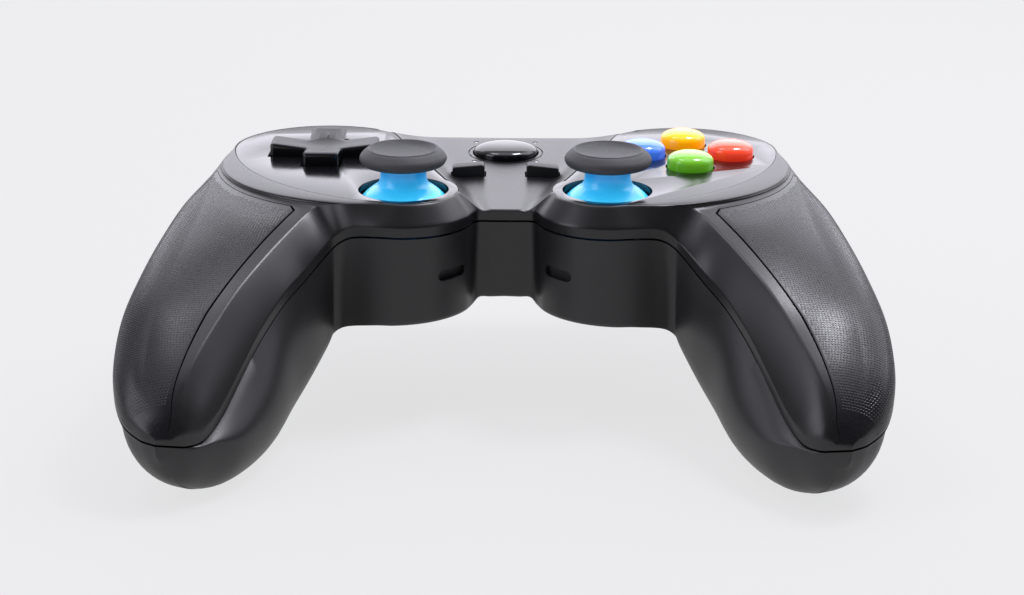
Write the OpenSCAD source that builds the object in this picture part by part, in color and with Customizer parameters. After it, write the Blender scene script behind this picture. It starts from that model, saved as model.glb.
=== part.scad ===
// Two-handed gamepad: two sticks, cross pad, four face buttons, centre keys, shoulder bumpers and triggers.
// Drawn about the face: x to the right, y away from the player, z up, origin between the sticks.
// place() then sets it down so that the middle of the box's underside is the origin.

/* [Face] */
// Distance between the axes of the two sticks
stick_pitch = 44.4; // [43.4:0.1:45.4]
// Distance from the middle to the centre of each rounded back lobe
lobe_x = 42.5; // [41.8:0.1:43.5]
// Distance from the stick line back to the centre of each lobe
lobe_y = 36; // [35.4:0.1:37]
// Radius of each rounded back lobe of the face
lobe_r = 21.5; // [21.2:0.1:22.2]
// Radius of the flat ring round each stick
ring_r = 12.5; // [12.3:0.1:13.2]
// Radius of the face's long outer edge
sweep_r = 54; // [51:0.5:58]
// Width of the satin rim left round the glossy plate
rim_w = 0.6; // [0.5:0.1:0.9]
// Thickness of the glossy plate
plate_t = 1.6; // [1.3:0.1:1.8]

/* [Housing] */
// Depth of the seam below the face
seam_drop = 6.4; // [6.2:0.1:7]
// Height of the upright lip above the seam
lip_h = 2.2; // [1.8:0.1:2.6]
// Run of the chamfer in front of the stick rings
ring_chamfer = 3.2; // [2.8:0.1:3.6]
// Run of the chamfer round the back lobes
lobe_chamfer = 2.8; // [2.5:0.1:3.2]
// Depth of the underside below the face
body_depth = 26; // [25.8:0.1:27]
// Depth of the grips' lowest point below the face
grip_depth = 49.4; // [48:0.2:51]
// Distance from the stick line to the grip tips
grip_reach = 60.5; // [59:0.5:62.5]
// Wall thickness of the shells
wall = 2.2; // [1.9:0.1:2.4]
// Gap between the two shells along the seam
seam_gap = 0.3; // [0.2:0.05:0.4]
// Thickness of the textured grip panels
panel_t = 1.2; // [0.9:0.1:1.5]
// Width of the groove round the grip panels
groove_w = 0.35; // [0.25:0.05:0.5]
// Width of the satin strip between a grip panel and the inner ridge
strip_w = 1.7; // [1.4:0.1:2]

/* [Keys] */
// Distance of the cross pad and face buttons from the middle
cluster_x = 42; // [41.6:0.1:42.6]
// Distance of the cross pad from the stick line
cross_y = 31; // [30.6:0.1:31.4]
// Length of the cross pad from tip to tip
cross_span = 24.8; // [23.6:0.1:25.4]
// Width of the cross pad's arms
cross_arm = 8.1; // [7.6:0.1:8.6]
// Height of the cross pad's arms above the face
cross_h = 3; // [2.6:0.1:3.4]
// Distance of the middle of the face buttons from the stick line
buttons_y = 30.3; // [29.9:0.1:30.6]
// Distance of each face button from the middle of the four
button_step = 10.2; // [9.9:0.1:10.4]
// Diameter of a face button
button_d = 10.5; // [10:0.1:10.9]
// Height of a face button's dome above the face
button_h = 3.7; // [3.2:0.1:4.2]
// Travel of a face button
button_travel = 1.2; // [0.9:0.1:1.3]
// Distance of the home button from the stick line
home_y = 41; // [40.6:0.1:41.4]
// Diameter of the home button
home_d = 15; // [14:0.1:15.6]
// Distance of the select and start keys from the middle
key_x = 8.5; // [8.2:0.1:8.8]
// Distance of the select and start keys from the stick line
key_y = 23.7; // [23:0.1:24.4]
// Length of the select and start keys
key_l = 7.4; // [6.8:0.1:7.8]
// Depth of the select and start keys from front to back
key_w = 3.4; // [3:0.1:3.8]
// Height of the select and start keys above the centre panel
key_h = 2.3; // [1.9:0.1:2.7]
// Clearance of each moving key in its hole
key_gap = 0.35; // [0.3:0.05:0.45]

/* [Sticks] */
// Diameter of a stick cap
cap_d = 19; // [18:0.1:19.6]
// Height of a stick cap's rim above the face
cap_h = 9.2; // [8.8:0.1:9.8]
// Diameter of the stick's neck
neck_d = 10; // [9.4:0.1:10.6]
// Radius of the dome under each cap
dome_r = 12; // [11.8:0.1:12.2]
// Radius of the stick's hole in the plate
stick_hole_r = 9.8; // [9.5:0.1:10.1]
// Depth of the tilt point below the face
pivot_drop = 9.5; // [9.3:0.1:9.7]
// Largest tilt of a stick
stick_tilt = 15; // [12:1:15]
// Travel of a stick when it's clicked
click_travel = 0.5; // [0.3:0.05:0.5]

/* [Shoulders] */
// How far the bumpers stand out beyond the lobes' walls
bumper_out = 1.4; // [1:0.1:1.8]
// Height of the bumpers
bumper_h = 6.1; // [5.6:0.1:6.3]
// Width of the trigger's finger blade
blade_w = 23.4; // [22.4:0.1:23.8]
// Largest swing of a trigger
trigger_swing = 16; // [10:1:17]
// Radius of the trigger's pin
trigger_pin_r = 1.2; // [1:0.05:1.3]

/* [Inside] */
// Depth of the main board's top below the face
board_drop = 14.5; // [14.3:0.1:14.8]
// Thickness of the main board
board_t = 1.6; // [1.2:0.1:1.7]
// Thickness of the rubber membranes
membrane_t = 0.8; // [0.6:0.1:1]
// Length of the battery
battery_l = 40; // [36:1:41]
// Radius of a rumble motor's can
motor_r = 6.5; // [6:0.1:7]
// Running clearance of a pin in its bore
run_gap = 0.05; // [0.03:0.01:0.08]
// Clearance between pieces that are fixed to each other
fit_gap = 0.1; // [0.05:0.05:0.15]

/* [View] */
// Sub-part that is drawn

/* [Hidden] */
$fn = 40;

stick = [stick_pitch / 2, 0];
lobe = [lobe_x, lobe_y];
seam_z = -seam_drop;
wall_r = lobe_r + lobe_chamfer;
bumper_r = wall_r + bumper_out;
y_shift = (grip_reach - lobe_y - bumper_r) / 2;

function dir(a) = [cos(a), sin(a)];
function unit(v) = v / norm(v);
function mix(a, b, t) = a + (b - a) * t;
function angle_of(v) = atan2(v.y, v.x);
function reverse(list) = [for (k = [len(list) - 1:-1:0]) list[k]];
function flat(lists) = [for (list = lists) each list];

// The face's outline is a back lobe, a ring and a long arc that is tangent to both
lobe_gap = norm(lobe - stick);
lobe_dir = unit(lobe - stick);
lobe_side = [-lobe_dir.y, lobe_dir.x];
sweep_run = (pow(sweep_r - ring_r, 2) - pow(sweep_r - lobe_r, 2) + lobe_gap * lobe_gap) / (2 * lobe_gap);
sweep = stick + lobe_dir * sweep_run + lobe_side * sqrt(pow(sweep_r - ring_r, 2) - sweep_run * sweep_run);
outer_a = angle_of(lobe - sweep);
front_a = angle_of(stick - sweep);
inner_cos = (lobe_r - ring_r) / lobe_gap;
inner_a = angle_of(lobe_dir * inner_cos + lobe_side * sqrt(1 - inner_cos * inner_cos));
sagitta = sweep_r * (1 - cos((outer_a - front_a) / 2));

function arc(c, r, a0, a1, n) = [for (k = [0:n]) c + r * dir(mix(a0, a1, k / n))];
function face_outline(inset) = concat(
    arc(lobe, lobe_r - inset, inner_a, outer_a, 16),
    arc(sweep, sweep_r - inset, outer_a, front_a, 12),
    arc(stick, ring_r - inset, front_a, inner_a - 360, 20));

// A station of the housing: outer seam, outer crease, inner crease, inner seam, then the form and the belly
// form: bow, crown, roundness of the outer and inner shoulders, roof thickness
// belly: bottom height, run and rise of the outer and inner roundings, lean of the two walls, floor thickness
function station(outer, crease_o, crease_i, inner, form, belly) =
    concat(outer, crease_o, crease_i, inner, form, belly);

back_y = lobe_y + 18;
back_z = -1.8;
front_y = -2;
front_z = -4;
centre_x_back = [0, 11, 20];
centre_x_front = [0, 3, 5.4];
centre_bulge = [0, 0.2, 0.8];
roof_centre = 1.6;
roof_face = plate_t + 1.8;
floor_t = wall;

function centre_station(k) = let (xb = centre_x_back[k], xf = centre_x_front[k], yb = back_y + centre_bulge[k])
    station([xb, yb, seam_z], [xb, yb - 0.6, back_z], [xf, front_y + 0.3, front_z], [xf, front_y, seam_z],
        [0, 0, 0, 0, roof_centre + 0.1 * k], [-body_depth + 1.7 - 0.1 * k, 6, 8, 1, 1, 2, 0.3, floor_t]);

function face_station(t) = let (
        ao = mix(120, outer_a, t),
        ae = mix(inner_a, outer_a, t),
        ai = mix(192, front_a + 360, t))
    station(concat(lobe + wall_r * dir(ao), [seam_z]), concat(lobe + lobe_r * dir(ae), [0]),
        concat(stick + ring_r * dir(ai), [0]), concat(stick + (ring_r + ring_chamfer) * dir(ai), [seam_z]),
        [sagitta * pow(t, 1.5) - 0.5 * (1 - t), 0, 0, 0, roof_face],
        [-body_depth - 0.6 * t, 7 + 3 * t, 10 + 2 * t, 1.2, 1.2, 2, 0.5, floor_t]);

// Guide lines of the grips from the face's corner to the tip: x from the lobe, y from the stick line, z
grip_outer = [
    [24.7, 28, -6.5], [25.5, 23.5, -6.7], [26.2, 19, -7.1], [28.7, 6.5, -8.6], [31.4, -8, -11.8],
    [33.8, -22, -16.2], [35.7, -35, -21.8], [35.6, -46, -28.2], [33.1, -53.5, -33.2], [28.9, -58, -35.4],
    [25.2, -60.4, -36]
];
grip_crease = [
    [22.5, 28.5, -0.6], [23.1, 23.5, -1.3], [23.3, 18, -2], [23.3, 3, -3.3], [24.3, -10.5, -6],
    [26.1, -23.5, -9.8], [28, -36.5, -14.8], [28.5, -46.5, -20.8], [27.9, -53.5, -26], [25.5, -58, -30.2],
    [24.4, -60.3, -34.8]
];
grip_ridge = [
    [-9, -10.8, -0.4], [-2.5, -8.4, -1.1], [3.1, -5.6, -2], [8.1, -15.5, -4.8], [12.1, -24.5, -8.2],
    [15.7, -33.5, -12.3], [19.1, -42, -17.2], [21.7, -49.5, -21.9], [22.7, -55, -26.3], [22.9, -58.6, -30],
    [22.8, -60.5, -34.8]
];
grip_inner = [
    [-10.3, -13.4, -6.9], [-7.3, -13, -8.2], [-4.9, -14.4, -10.2], [-0.5, -20, -14.5], [3.5, -27.2, -17.8],
    [7.3, -34.8, -22.6], [10.5, -42.6, -28.2], [13.4, -50.2, -33.2], [16.1, -55.8, -35.8], [18.9, -58.9, -36.3],
    [21.8, -60.4, -36]
];
grip_bow = [8.6, 7.4, 6, 3.5, 1.6, 0, 0, 0, 0, 0, 0];
grip_crown = [0, 0, 0, 0.5, 0.6, 0.6, 0.6, 0.5, 0.3, 0.2, 0.2];
grip_round_o = [0, 0.2, 0.4, 1, 1, 1, 1, 1, 1, 1, 1];
grip_round_i = [0, 0, 0, 0.15, 0.2, 0.25, 0.3, 0.35, 0.5, 0.7, 0.8];
grip_roof = [4.5, 4.5, 4.5, 4.2, 3.5, 3, 3, 3, 3, 3, 3];
grip_floor = [0, 0.5, 1, 2, 2.5, 2.5, 2.5, 2.5, 2.5, 2.5, 2.5];
grip_rise = [21.6, 18.4, 14.4, 8.9, 4.4, 1.4, 0, 0.5, 2.1, 4.6, 10.4];
grip_belly = [
    [11, 14, 2, 2, 1, 1], [12, 16, 4, 4, 1, 1], [14, 18, 6, 6, 1, 0], [17, 22, 8, 9, 1.5, -2],
    [19, 24, 9, 11, 2, -3.3], [18, 24, 9, 12, 2.5, -4.6], [16, 22, 9, 12, 3, -4.5], [12, 16, 8, 11, 4.2, -3.2],
    [8, 12, 6, 10, 3.2, -0.8], [5, 8, 3.2, 8, 0.8, 0], [0.8, 2, 0.8, 2, 0, 0]
];

function grip_point(p) = [lobe_x + p.x, p.y < 0 ? p.y * grip_reach / 60.5 : p.y, p.z];
function grip_station(k) = station(
    grip_point(grip_outer[k]), grip_point(grip_crease[k]), grip_point(grip_ridge[k]), grip_point(grip_inner[k]),
    [grip_bow[k], grip_crown[k], grip_round_o[k], grip_round_i[k], grip_roof[k]],
    concat([grip_rise[k] - grip_depth], grip_belly[k], [floor_t + grip_floor[k]]));

stations = concat([for (k = [0:2]) centre_station(k)], [for (j = [0:6]) face_station(j / 6)],
    [for (k = [0:10]) grip_station(k)]);
last = len(stations) - 1;
panel_start = 12;
step_run = 0.04;
cavity_end = 14.7;

// Smooth curve through the stations
function at(x) = let (
        k = min(floor(x), last - 1), t = x - k,
        b = stations[k], c = stations[k + 1],
        mb = k == 0 ? c - b : (c - stations[k - 1]) / 2,
        mc = k + 1 == last ? c - b : (stations[k + 2] - b) / 2)
    b * (2 * t * t * t - 3 * t * t + 1) + mb * (t * t * t - 2 * t * t + t)
    + c * (3 * t * t - 2 * t * t * t) + mc * (t * t * t - t * t);

function outer_of(s) = [s[0], s[1], s[2]];
function crease_of(s) = [s[3], s[4], s[5]];
function ridge_of(s) = [s[6], s[7], s[8]];
function inner_of(s) = [s[9], s[10], s[11]];
function chord(s) = norm([s[9] - s[0], s[10] - s[1]]);
function bowed(a, b, bow, u) = let (run = [b.x - a.x, b.y - a.y], n = [-run.y, run.x] / norm(run))
    [a.x, a.y] + run * u + n * bow * 4 * u * (1 - u);
function along(s, d, z) = concat(bowed(outer_of(s), inner_of(s), s[12], d / chord(s)), [z]);
function back_along(s, d, z) = along(s, chord(s) - d, z);

function eased_out(t, r) = mix(t, 1 - cos(90 * t), r);
function eased_up(t, r) = mix(t, sin(90 * t), r);
function shoulder(from, to, r) = [for (k = [0:3]) let (f = eased_out(k / 3, r), g = eased_up(k / 3, r))
    [mix(from.x, to.x, f), mix(from.y, to.y, f), mix(from.z, to.z, g)]];
function plateau(s, u) = concat(bowed(crease_of(s), ridge_of(s), s[12], u),
    [mix(s[5], s[8], u) + s[13] * 4 * u * (1 - u)]);
function ridge_u(s, gap) = 1 - gap * min(0.3 / strip_w, 1 / norm(ridge_of(s) - crease_of(s)));
function lip(edge, crease) = edge + [0, 0, min(lip_h, 0.9 * (crease.z - edge.z))];
function top_line(s, gap) = concat(
    [outer_of(s)], shoulder(lip(outer_of(s), crease_of(s)), crease_of(s), s[14]),
    [for (k = [1:5]) plateau(s, ridge_u(s, gap + fit_gap) * k / 5)], [plateau(s, ridge_u(s, gap))],
    reverse(shoulder(lip(inner_of(s), ridge_of(s)), ridge_of(s), s[15])), [inner_of(s)]);

// The grip panels lie in a step of the top shell that fades out toward the tip
panel_points = 10;
function sunk_line(s, line, depth) = let (
        n = unit([s[9] - s[0], s[10] - s[1], 0]), deep = depth * min(1, max(0, chord(s) - 4) / 12))
    [for (k = [0:len(line) - 1]) let (w = min(1, max(0, k - 1) / 3))
        k < panel_points ? line[k] + deep * unit(mix(n, [0, 0, -1], w)) : line[k]];
function top_section(x) = let (s = at(x), line = top_line(s, strip_w))
    x > panel_start + step_run / 2 ? sunk_line(s, line, panel_t) : line;

belly_sag = 0.05;
function wall_curve(s, run, rise, lean, z0) = let (zb = s[17] + belly_sag) concat(
    [[0, z0], [0.6 * lean, (z0 + zb + rise) / 2]],
    [for (k = [0:3]) [lean + run * (1 - cos(30 * k)), zb + rise * (1 - sin(30 * k))]]);
function bottom_section(x) = let (
        s = at(x), far = s[22] + s[18], near = chord(s) - s[23] - s[20],
        wall_o = wall_curve(s, s[18], s[19], s[22], s[2] - seam_gap),
        wall_i = wall_curve(s, s[20], s[21], s[23], s[11] - seam_gap))
    concat([for (p = wall_o) along(s, p[0], p[1])],
        [for (u = [1, 2]) along(s, mix(far, near, u / 3), s[17])],
        [for (p = reverse(wall_i)) back_along(s, p[0], p[1])]);

// The hollow inside each shell, carried a little past the seam so that it opens there
past_seam = 2;
off_seam = 0.35;
fold_at = 10.5;
function eased(s) = [for (k = [0:len(s) - 1]) k == 12 ? 0.4 * s[k] : s[k]];
function plan_gap(a, b) = norm([b.x - a.x, b.y - a.y]);
function top_cavity(x) = let (
        s = eased(at(x)), corner = max(0, 1 - 0.4 * abs(x - fold_at)), wall_i = wall + corner,
        run_o = max(wall + 0.3, 0.85 * plan_gap(outer_of(s), crease_of(s))),
        run_i = max(wall_i + 0.3, 1.15 * plan_gap(inner_of(s), ridge_of(s)) + 4 * corner))
    [along(s, wall, s[2] - past_seam), along(s, wall, s[2] + off_seam), along(s, run_o, s[5] - s[16]),
        plateau(s, 1 / 3) - [0, 0, s[16]], plateau(s, 2 / 3) - [0, 0, s[16]],
        back_along(s, run_i, s[8] - s[16]), back_along(s, wall_i, s[11] + off_seam),
        back_along(s, wall_i, s[11] - past_seam)];
function inner_curve(s, run, rise, lean, z0) = let (
        lo = max(lean, 0), zf = s[17] + s[24],
        mid = max(lo + 0.3 * run + 0.7 * wall, lo + wall + 0.1),
        mid_z = max(s[17] + 0.3 * rise + 0.7 * wall, zf + 0.3))
    [[wall, z0 + past_seam], [wall, z0 - off_seam], [lo + wall, max(s[17] + rise, mid_z + 0.4)], [mid, mid_z],
        [max(lean + run, mid + 0.3), zf]];
function bottom_cavity(x) = let (
        s = at(x),
        wall_o = inner_curve(s, s[18], s[19], s[22], s[2] - seam_gap),
        wall_i = inner_curve(s, s[20], s[21], s[23], s[11] - seam_gap),
        far = wall_o[4][0], near = chord(s) - wall_i[4][0])
    concat([for (p = wall_o) along(s, p[0], p[1])],
        [for (u = [1, 2]) along(s, mix(far, near, u / 3), s[17] + s[24] - 0.15)],
        [for (p = reverse(wall_i)) back_along(s, p[0], p[1])]);

half_steps = concat([0, 1, 2, 2.5], [for (k = [3:0.5:12]) k], [panel_start + step_run],
    [for (k = [12.5:0.5:20]) k]);
cavity_steps = concat([0, 1.2, 2.2], [for (k = [2.7:0.5:cavity_end + 0.1]) k]);
function mirrored(line) = [for (p = line) [-p.x, p.y, p.z]];
function both_sides(half) = concat([for (k = [len(half) - 1:-1:1]) mirrored(half[k])], half);

function quad(a, b, c, d) = [[a, b, c], [a, c, d]];
function grid(n, k, from) = flat([for (i = [0:n - 2], j = [0:k - 2]) let (a = from + i * k + j)
    quad(a, a + k, a + k + 1, a + 1)]);
function strip(n, a0, a_step, b0, b_step) = flat([for (i = [0:n - 2])
    quad(a0 + i * a_step, b0 + i * b_step, b0 + (i + 1) * b_step, a0 + (i + 1) * a_step)]);
function zip(k, from) = flat([for (j = [0:k / 2 - 2])
    quad(from + j, from + j + 1, from + k - 2 - j, from + k - 1 - j)]);
function turned(faces) = [for (f = faces) [f[2], f[1], f[0]]];

// Closed solid through a row of closed sections, each drawn from the outer seam over to the inner one
module loft(sections, up) {
    n = len(sections);
    k = len(sections[0]);
    end = (n - 1) * k;
    faces = concat(grid(n, k, 0), strip(n, 0, k, k - 1, k), zip(k, 0), turned(zip(k, end)));
    polyhedron(points = flat(sections), faces = up ? faces : turned(faces));
}

// Closed sheet between two grids of points of the same size
module sheet(upper, lower) {
    n = len(upper);
    k = len(upper[0]);
    low = n * k;
    faces = concat(grid(n, k, 0), turned(grid(n, k, low)),
        strip(n, 0, k, low, k), turned(strip(n, k - 1, k, low + k - 1, k)),
        flat([for (j = [0:k - 2]) quad(j, j + 1, low + j + 1, low + j)]),
        flat([for (j = [0:k - 2]) let (a = (n - 1) * k + j) quad(a + 1, a, low + a, low + a + 1)]));
    polyhedron(points = concat(flat(upper), flat(lower)), faces = faces);
}

module place() {
    translate([0, y_shift, grip_depth]) children();
}
module on_side(s) {
    mirror([s < 0 ? 1 : 0, 0, 0]) children();
}
module both() {
    children();
    mirror([1, 0, 0]) children();
}
module post(p, r, z0, z1) {
    translate([p.x, p.y, z0]) cylinder(r = r, h = z1 - z0);
}
module box(x0, x1, y0, y1, z0, z1) {
    translate([x0, y0, z0]) cube([x1 - x0, y1 - y0, z1 - z0]);
}
module rod_x(x0, x1, y, z, r) {
    translate([x0, y, z]) rotate([0, 90, 0]) cylinder(r = r, h = x1 - x0);
}

board_z = -board_drop;
board_under = board_z - board_t;
membrane_h = membrane_t + 1.4;
plunger_z = board_z + membrane_h + button_travel + 0.5;
pivot_z = -pivot_drop;
function panel_z(y) = mix(front_z, back_z, (y - front_y - 0.3) / (back_y - front_y - 0.9));

// Case screws: two into the back posts, two into the grips
back_post = [14, lobe_y + 8.5];
grip_post = [lobe_x + 23.5, -38];
screw_r = 1.15;
screw_head_r = 2.5;
post_r = 2.6;
back_head_z = -body_depth + 4;
grip_head_z = 10.5 - grip_depth;
grip_screw_top = -20.5;

// Shoulder keys
hub_r = 2.4;
bumper_top = -3.5;
bumper_low = bumper_top - bumper_h;
bumper_in_r = lobe_r - 1.2;
bumper_from = 55;
bumper_to = 124;
bumper_pivot = lobe + (lobe_r + 1) * dir(128);
bumper_pin_r = 1;
trigger_x = lobe_x + 0.5;
trigger_y = lobe_y + 15.4;
trigger_z = bumper_low - 0.9 - hub_r;
ear_t = 1.4;
ear_x = blade_w / 2 - ear_t - 0.3;
hub_shift = 1.2;
hub_w = 2 * (ear_x - hub_shift - 0.3);
bracket_y = lobe_y + 10.4;
bracket_t = 1.2;
notch_low = trigger_z - 6.2 - 10.2 * sin(trigger_swing);

module bumper_slot() {
    translate([lobe.x, lobe.y, 0]) rotate([0, 0, bumper_from - 4]) rotate_extrude(angle = 141 - bumper_from)
        translate([bumper_in_r - 0.8, bumper_low - 0.5]) square([14, bumper_h + 0.8]);
}
module shoulder_notch() {
    bumper_slot();
    post(bumper_pivot, hub_r + 0.9, bumper_low - 2.2, bumper_top + 0.3);
    box(bumper_pivot.x, trigger_x, bumper_pivot.y, lobe_y + 39, bumper_low - 2, bumper_low - 0.2);
    half = blade_w / 2 + 0.4;
    box(trigger_x - half, trigger_x + half, trigger_y - 3.4, lobe_y + 40, notch_low, bumper_low);
}

module plate_pocket() {
    translate([0, 0, -plate_t - fit_gap]) linear_extrude(plate_t + 2) polygon(face_outline(rim_w - fit_gap));
}
// The opening under each plate leaves a ledge for the plate's edge
module plate_opening() {
    translate([0, 0, -plate_t - 4]) linear_extrude(5) polygon(face_outline(rim_w + 1));
}
module top_blank() {
    difference() {
        loft(both_sides([for (x = half_steps) top_section(x)]), true);
        loft(both_sides([for (x = cavity_steps) top_cavity(x)]), true);
    }
    both() post(back_post, post_r, board_z + fit_gap, panel_z(back_post.y) - 0.8);
}
module opened_top() {
    difference() {
        difference() {
            top_blank();
            both() plate_pocket();
        }
        both() plate_opening();
    }
}
module top_shell() {
    color("#2b2c2e") place() difference() {
        difference() {
            opened_top();
            both() shoulder_notch();
        }
        both() {
            post(back_post, screw_r + run_gap, board_z - 1, -5);
            post(grip_post, screw_r + run_gap, -40, grip_screw_top + 0.5);
        }
        post([0, home_y], home_d / 2 + key_gap, -12, 2);
        select_hole();
        mirror([1, 0, 0]) select_hole();
        for (p = light_spots) post(p, light_r + run_gap, -12, 2);
    }
}
module select_hole() {
    box(-key_x - key_l / 2 - key_gap, -key_x + key_l / 2 + key_gap, key_y - key_w / 2 - key_gap,
        key_y + key_w / 2 + key_gap, -12, 2);
}

// Clip recesses in the front wall and the charge port's opening
slot_l = 7.7;
slot_h = 2.5;
slot_z = -15.8;
slot_a = 224;
slot_deep = wall - 0.9;
port_w = 8.4;
port_h = 2.8;
port_l = 6.4;
port_y = back_y - 1.3;
module clip_recess() {
    translate([stick.x, stick.y, slot_z]) rotate([0, 0, slot_a])
        translate([ring_r + ring_chamfer - 0.5 - slot_deep, 0, 0]) rotate([0, 90, 0]) {
            translate([0, slot_l / 2 - slot_h / 2, 0]) cylinder(d = slot_h, h = 6);
            translate([0, slot_h / 2 - slot_l / 2, 0]) cylinder(d = slot_h, h = 6);
            translate([-slot_h / 2, slot_h / 2 - slot_l / 2, 0]) cube([slot_h, slot_l - slot_h, 6]);
        }
}

// Rumble motors lie across the grips
motor_at = grip_point([16, -15.5, 22.9 - grip_depth]);
motor_l = 13;
weight_r = motor_r;
weight_t = 3.6;
motor_x0 = motor_at.x - 9.5;
weight_x0 = motor_x0 + motor_l + 1;
module motor_pocket() {
    can_r = motor_r + fit_gap;
    rod_x(motor_x0 - fit_gap, motor_x0 + motor_l + 0.5, motor_at.y, motor_at.z, can_r);
    box(motor_x0 - fit_gap, motor_x0 + motor_l + 0.5, motor_at.y - can_r, motor_at.y + can_r, motor_at.z, 0);
}
module motor_cradle() {
    half = motor_r + 1.2;
    box(motor_x0 - 1.6, motor_x0 + motor_l, motor_at.y - half, motor_at.y + half, motor_at.z - 2 * motor_r,
        motor_at.z);
}

board_rests = [[26.5, 17.5], [46, 11]];
module bottom_shell() {
    color("#1c1d1f") place() difference() {
        union() {
            difference() {
                loft(both_sides([for (x = half_steps) bottom_section(x)]), false);
                loft(both_sides([for (x = cavity_steps) bottom_cavity(x)]), false);
            }
            both() {
                post(back_post, post_r + 0.8, -body_depth + 3, board_under - fit_gap);
                for (p = board_rests) post(p, 2, -body_depth + 1, board_under - fit_gap);
                motor_cradle();
            }
        }
        both() {
            shoulder_notch();
            clip_recess();
            motor_pocket();
            post(back_post, screw_r + run_gap, -40, 0);
            post(back_post, screw_head_r + 0.3, -40, back_head_z);
            post(grip_post, screw_r + run_gap, -60, 0);
            post(grip_post, screw_head_r + 0.3, -60, grip_head_z);
        }
        box(-port_w / 2 - 0.3, port_w / 2 + 0.3, port_y - port_l, back_y + 5, board_z - 0.3,
            board_z + port_h + 0.3);
    }
}

module face_plate(s) {
    place() on_side(s) difference() {
        translate([0, 0, -plate_t]) linear_extrude(plate_t) polygon(face_outline(rim_w));
        post(stick, stick_hole_r, -10, 5);
        children();
    }
}
module left_face_plate() {
    color("#17181a") face_plate(-1) {
        box(cluster_x - cross_span / 2 - 0.5, cluster_x + cross_span / 2 + 0.5, cross_y - cross_arm / 2 - 0.4,
            cross_y + cross_arm / 2 + 0.4, -10, 5);
        box(cluster_x - cross_arm / 2 - 0.4, cluster_x + cross_arm / 2 + 0.4, cross_y - cross_span / 2 - 0.5,
            cross_y + cross_span / 2 + 0.5, -10, 5);
    }
}
module right_face_plate() {
    color("#17181a") face_plate(1) for (k = [0:3])
        post(button_spot(k), button_d / 2 + key_gap, -10, 5);
}

panel_steps = concat([panel_start + 2 * step_run], [for (k = [12.5:0.5:20]) k]);
function panel_line(x, depth) = let (s = at(x), line = sunk_line(s, top_line(s, strip_w + groove_w), depth))
    [for (k = [0:panel_points - 1]) line[k]];
module grip_panel(s) {
    place() on_side(s) sheet([for (x = panel_steps) panel_line(x, 0)],
        [for (x = panel_steps) panel_line(x, panel_t - fit_gap)]);
}
module left_grip_panel() {
    color("#3c3d40") grip_panel(-1);
}
module right_grip_panel() {
    color("#3c3d40") grip_panel(1);
}

module screw(p, head_z, top) {
    post(p, screw_head_r, head_z - 2, head_z);
    post(p, screw_r, head_z - 1, top);
}
module case_screws() {
    color("#8a8c90") place() both() {
        difference() {
            screw(back_post, back_head_z, -6);
            translate([back_post.x - 2, back_post.y - 0.4, back_head_z - 2.5]) cube([4, 0.8, 1.3]);
            translate([back_post.x - 0.4, back_post.y - 2, back_head_z - 2.5]) cube([0.8, 4, 1.3]);
        }
        difference() {
            screw(grip_post, grip_head_z, grip_screw_top);
            translate([grip_post.x - 2, grip_post.y - 0.4, grip_head_z - 2.5]) cube([4, 0.8, 1.3]);
            translate([grip_post.x - 0.4, grip_post.y - 2, grip_head_z - 2.5]) cube([0.8, 4, 1.3]);
        }
    }
}

board_back = lobe_y + 9.4;
module main_board() {
    color("#1f5a3a") place() translate([0, 0, board_under]) difference() {
        union() {
            both() linear_extrude(board_t) polygon(face_outline(2.2));
            box(-28, 28, 3.5, lobe_y + 11.8, 0, board_t);
        }
        both() {
            box(24, 70, board_back, lobe_y + 30, -1, board_t + 1);
            post(back_post, screw_r + 0.35, -1, board_t + 1);
        }
    }
}
module battery() {
    z0 = -body_depth + 1.7 + floor_t + 0.4;
    color("#4a6fa5") place() box(-battery_l / 2, battery_l / 2, 9, 38, z0, board_under - 0.4);
}
module charge_port() {
    color("#b9bcc0") place() difference() {
        box(-port_w / 2, port_w / 2, port_y - port_l, port_y, board_z, board_z + port_h);
        box(0.4 - port_w / 2, port_w / 2 - 0.4, port_y - port_l + 0.6, port_y + 1, board_z + 0.4,
            board_z + port_h - 0.4);
    }
}

light_r = 0.55;
light_spots = [[-7.1, lobe_y + 13.4], [7.1, lobe_y + 13.4], [-7.3, lobe_y - 2.1], [7.3, lobe_y - 2.1]];
module status_lights() {
    color("#d8dadc") place() for (p = light_spots) post(p, light_r, panel_z(p.y) - 3.4, panel_z(p.y) - 0.15);
}

// Sticks: cap and stem tilt in a gimbal inside a yoke that turns in the module's housing
dome_t = 1;
skirt_a = 86 - stick_tilt;
shaft_r = 1.5;
box_half = 6.8;
box_wall = 1;
shaft_low = board_drop - box_wall - pivot_drop - click_travel - 0.7;
axle_r = 1.45;
gimbal_pin_r = 0.95;
neck_r = neck_d / 2;
neck_top = cap_h - 3;
function polar(r, a) = [r * sin(a), pivot_z + r * cos(a)];
module stick_cap(s) {
    r = cap_d / 2;
    place() on_side(s) translate([stick.x, stick.y, 0]) rotate_extrude() polygon([
        [0, neck_top], [neck_r + 0.02, neck_top], [neck_r + 0.02, neck_top - 0.9], [r - 1.3, cap_h - 3.8],
        [r - 0.5, cap_h - 3.3], [r, cap_h - 2.3], [r - 0.1, cap_h - 1.4], [r - 0.6, cap_h - 0.6],
        [r - 1.4, cap_h], [r - 2.2, cap_h], [r - 2.9, cap_h - 0.4], [r - 3.8, cap_h - 0.9], [0, cap_h - 1.2]
    ]);
}
module left_stick_cap() {
    color("#4b4d50") stick_cap(-1);
}
module right_stick_cap() {
    color("#4b4d50") stick_cap(1);
}

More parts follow.
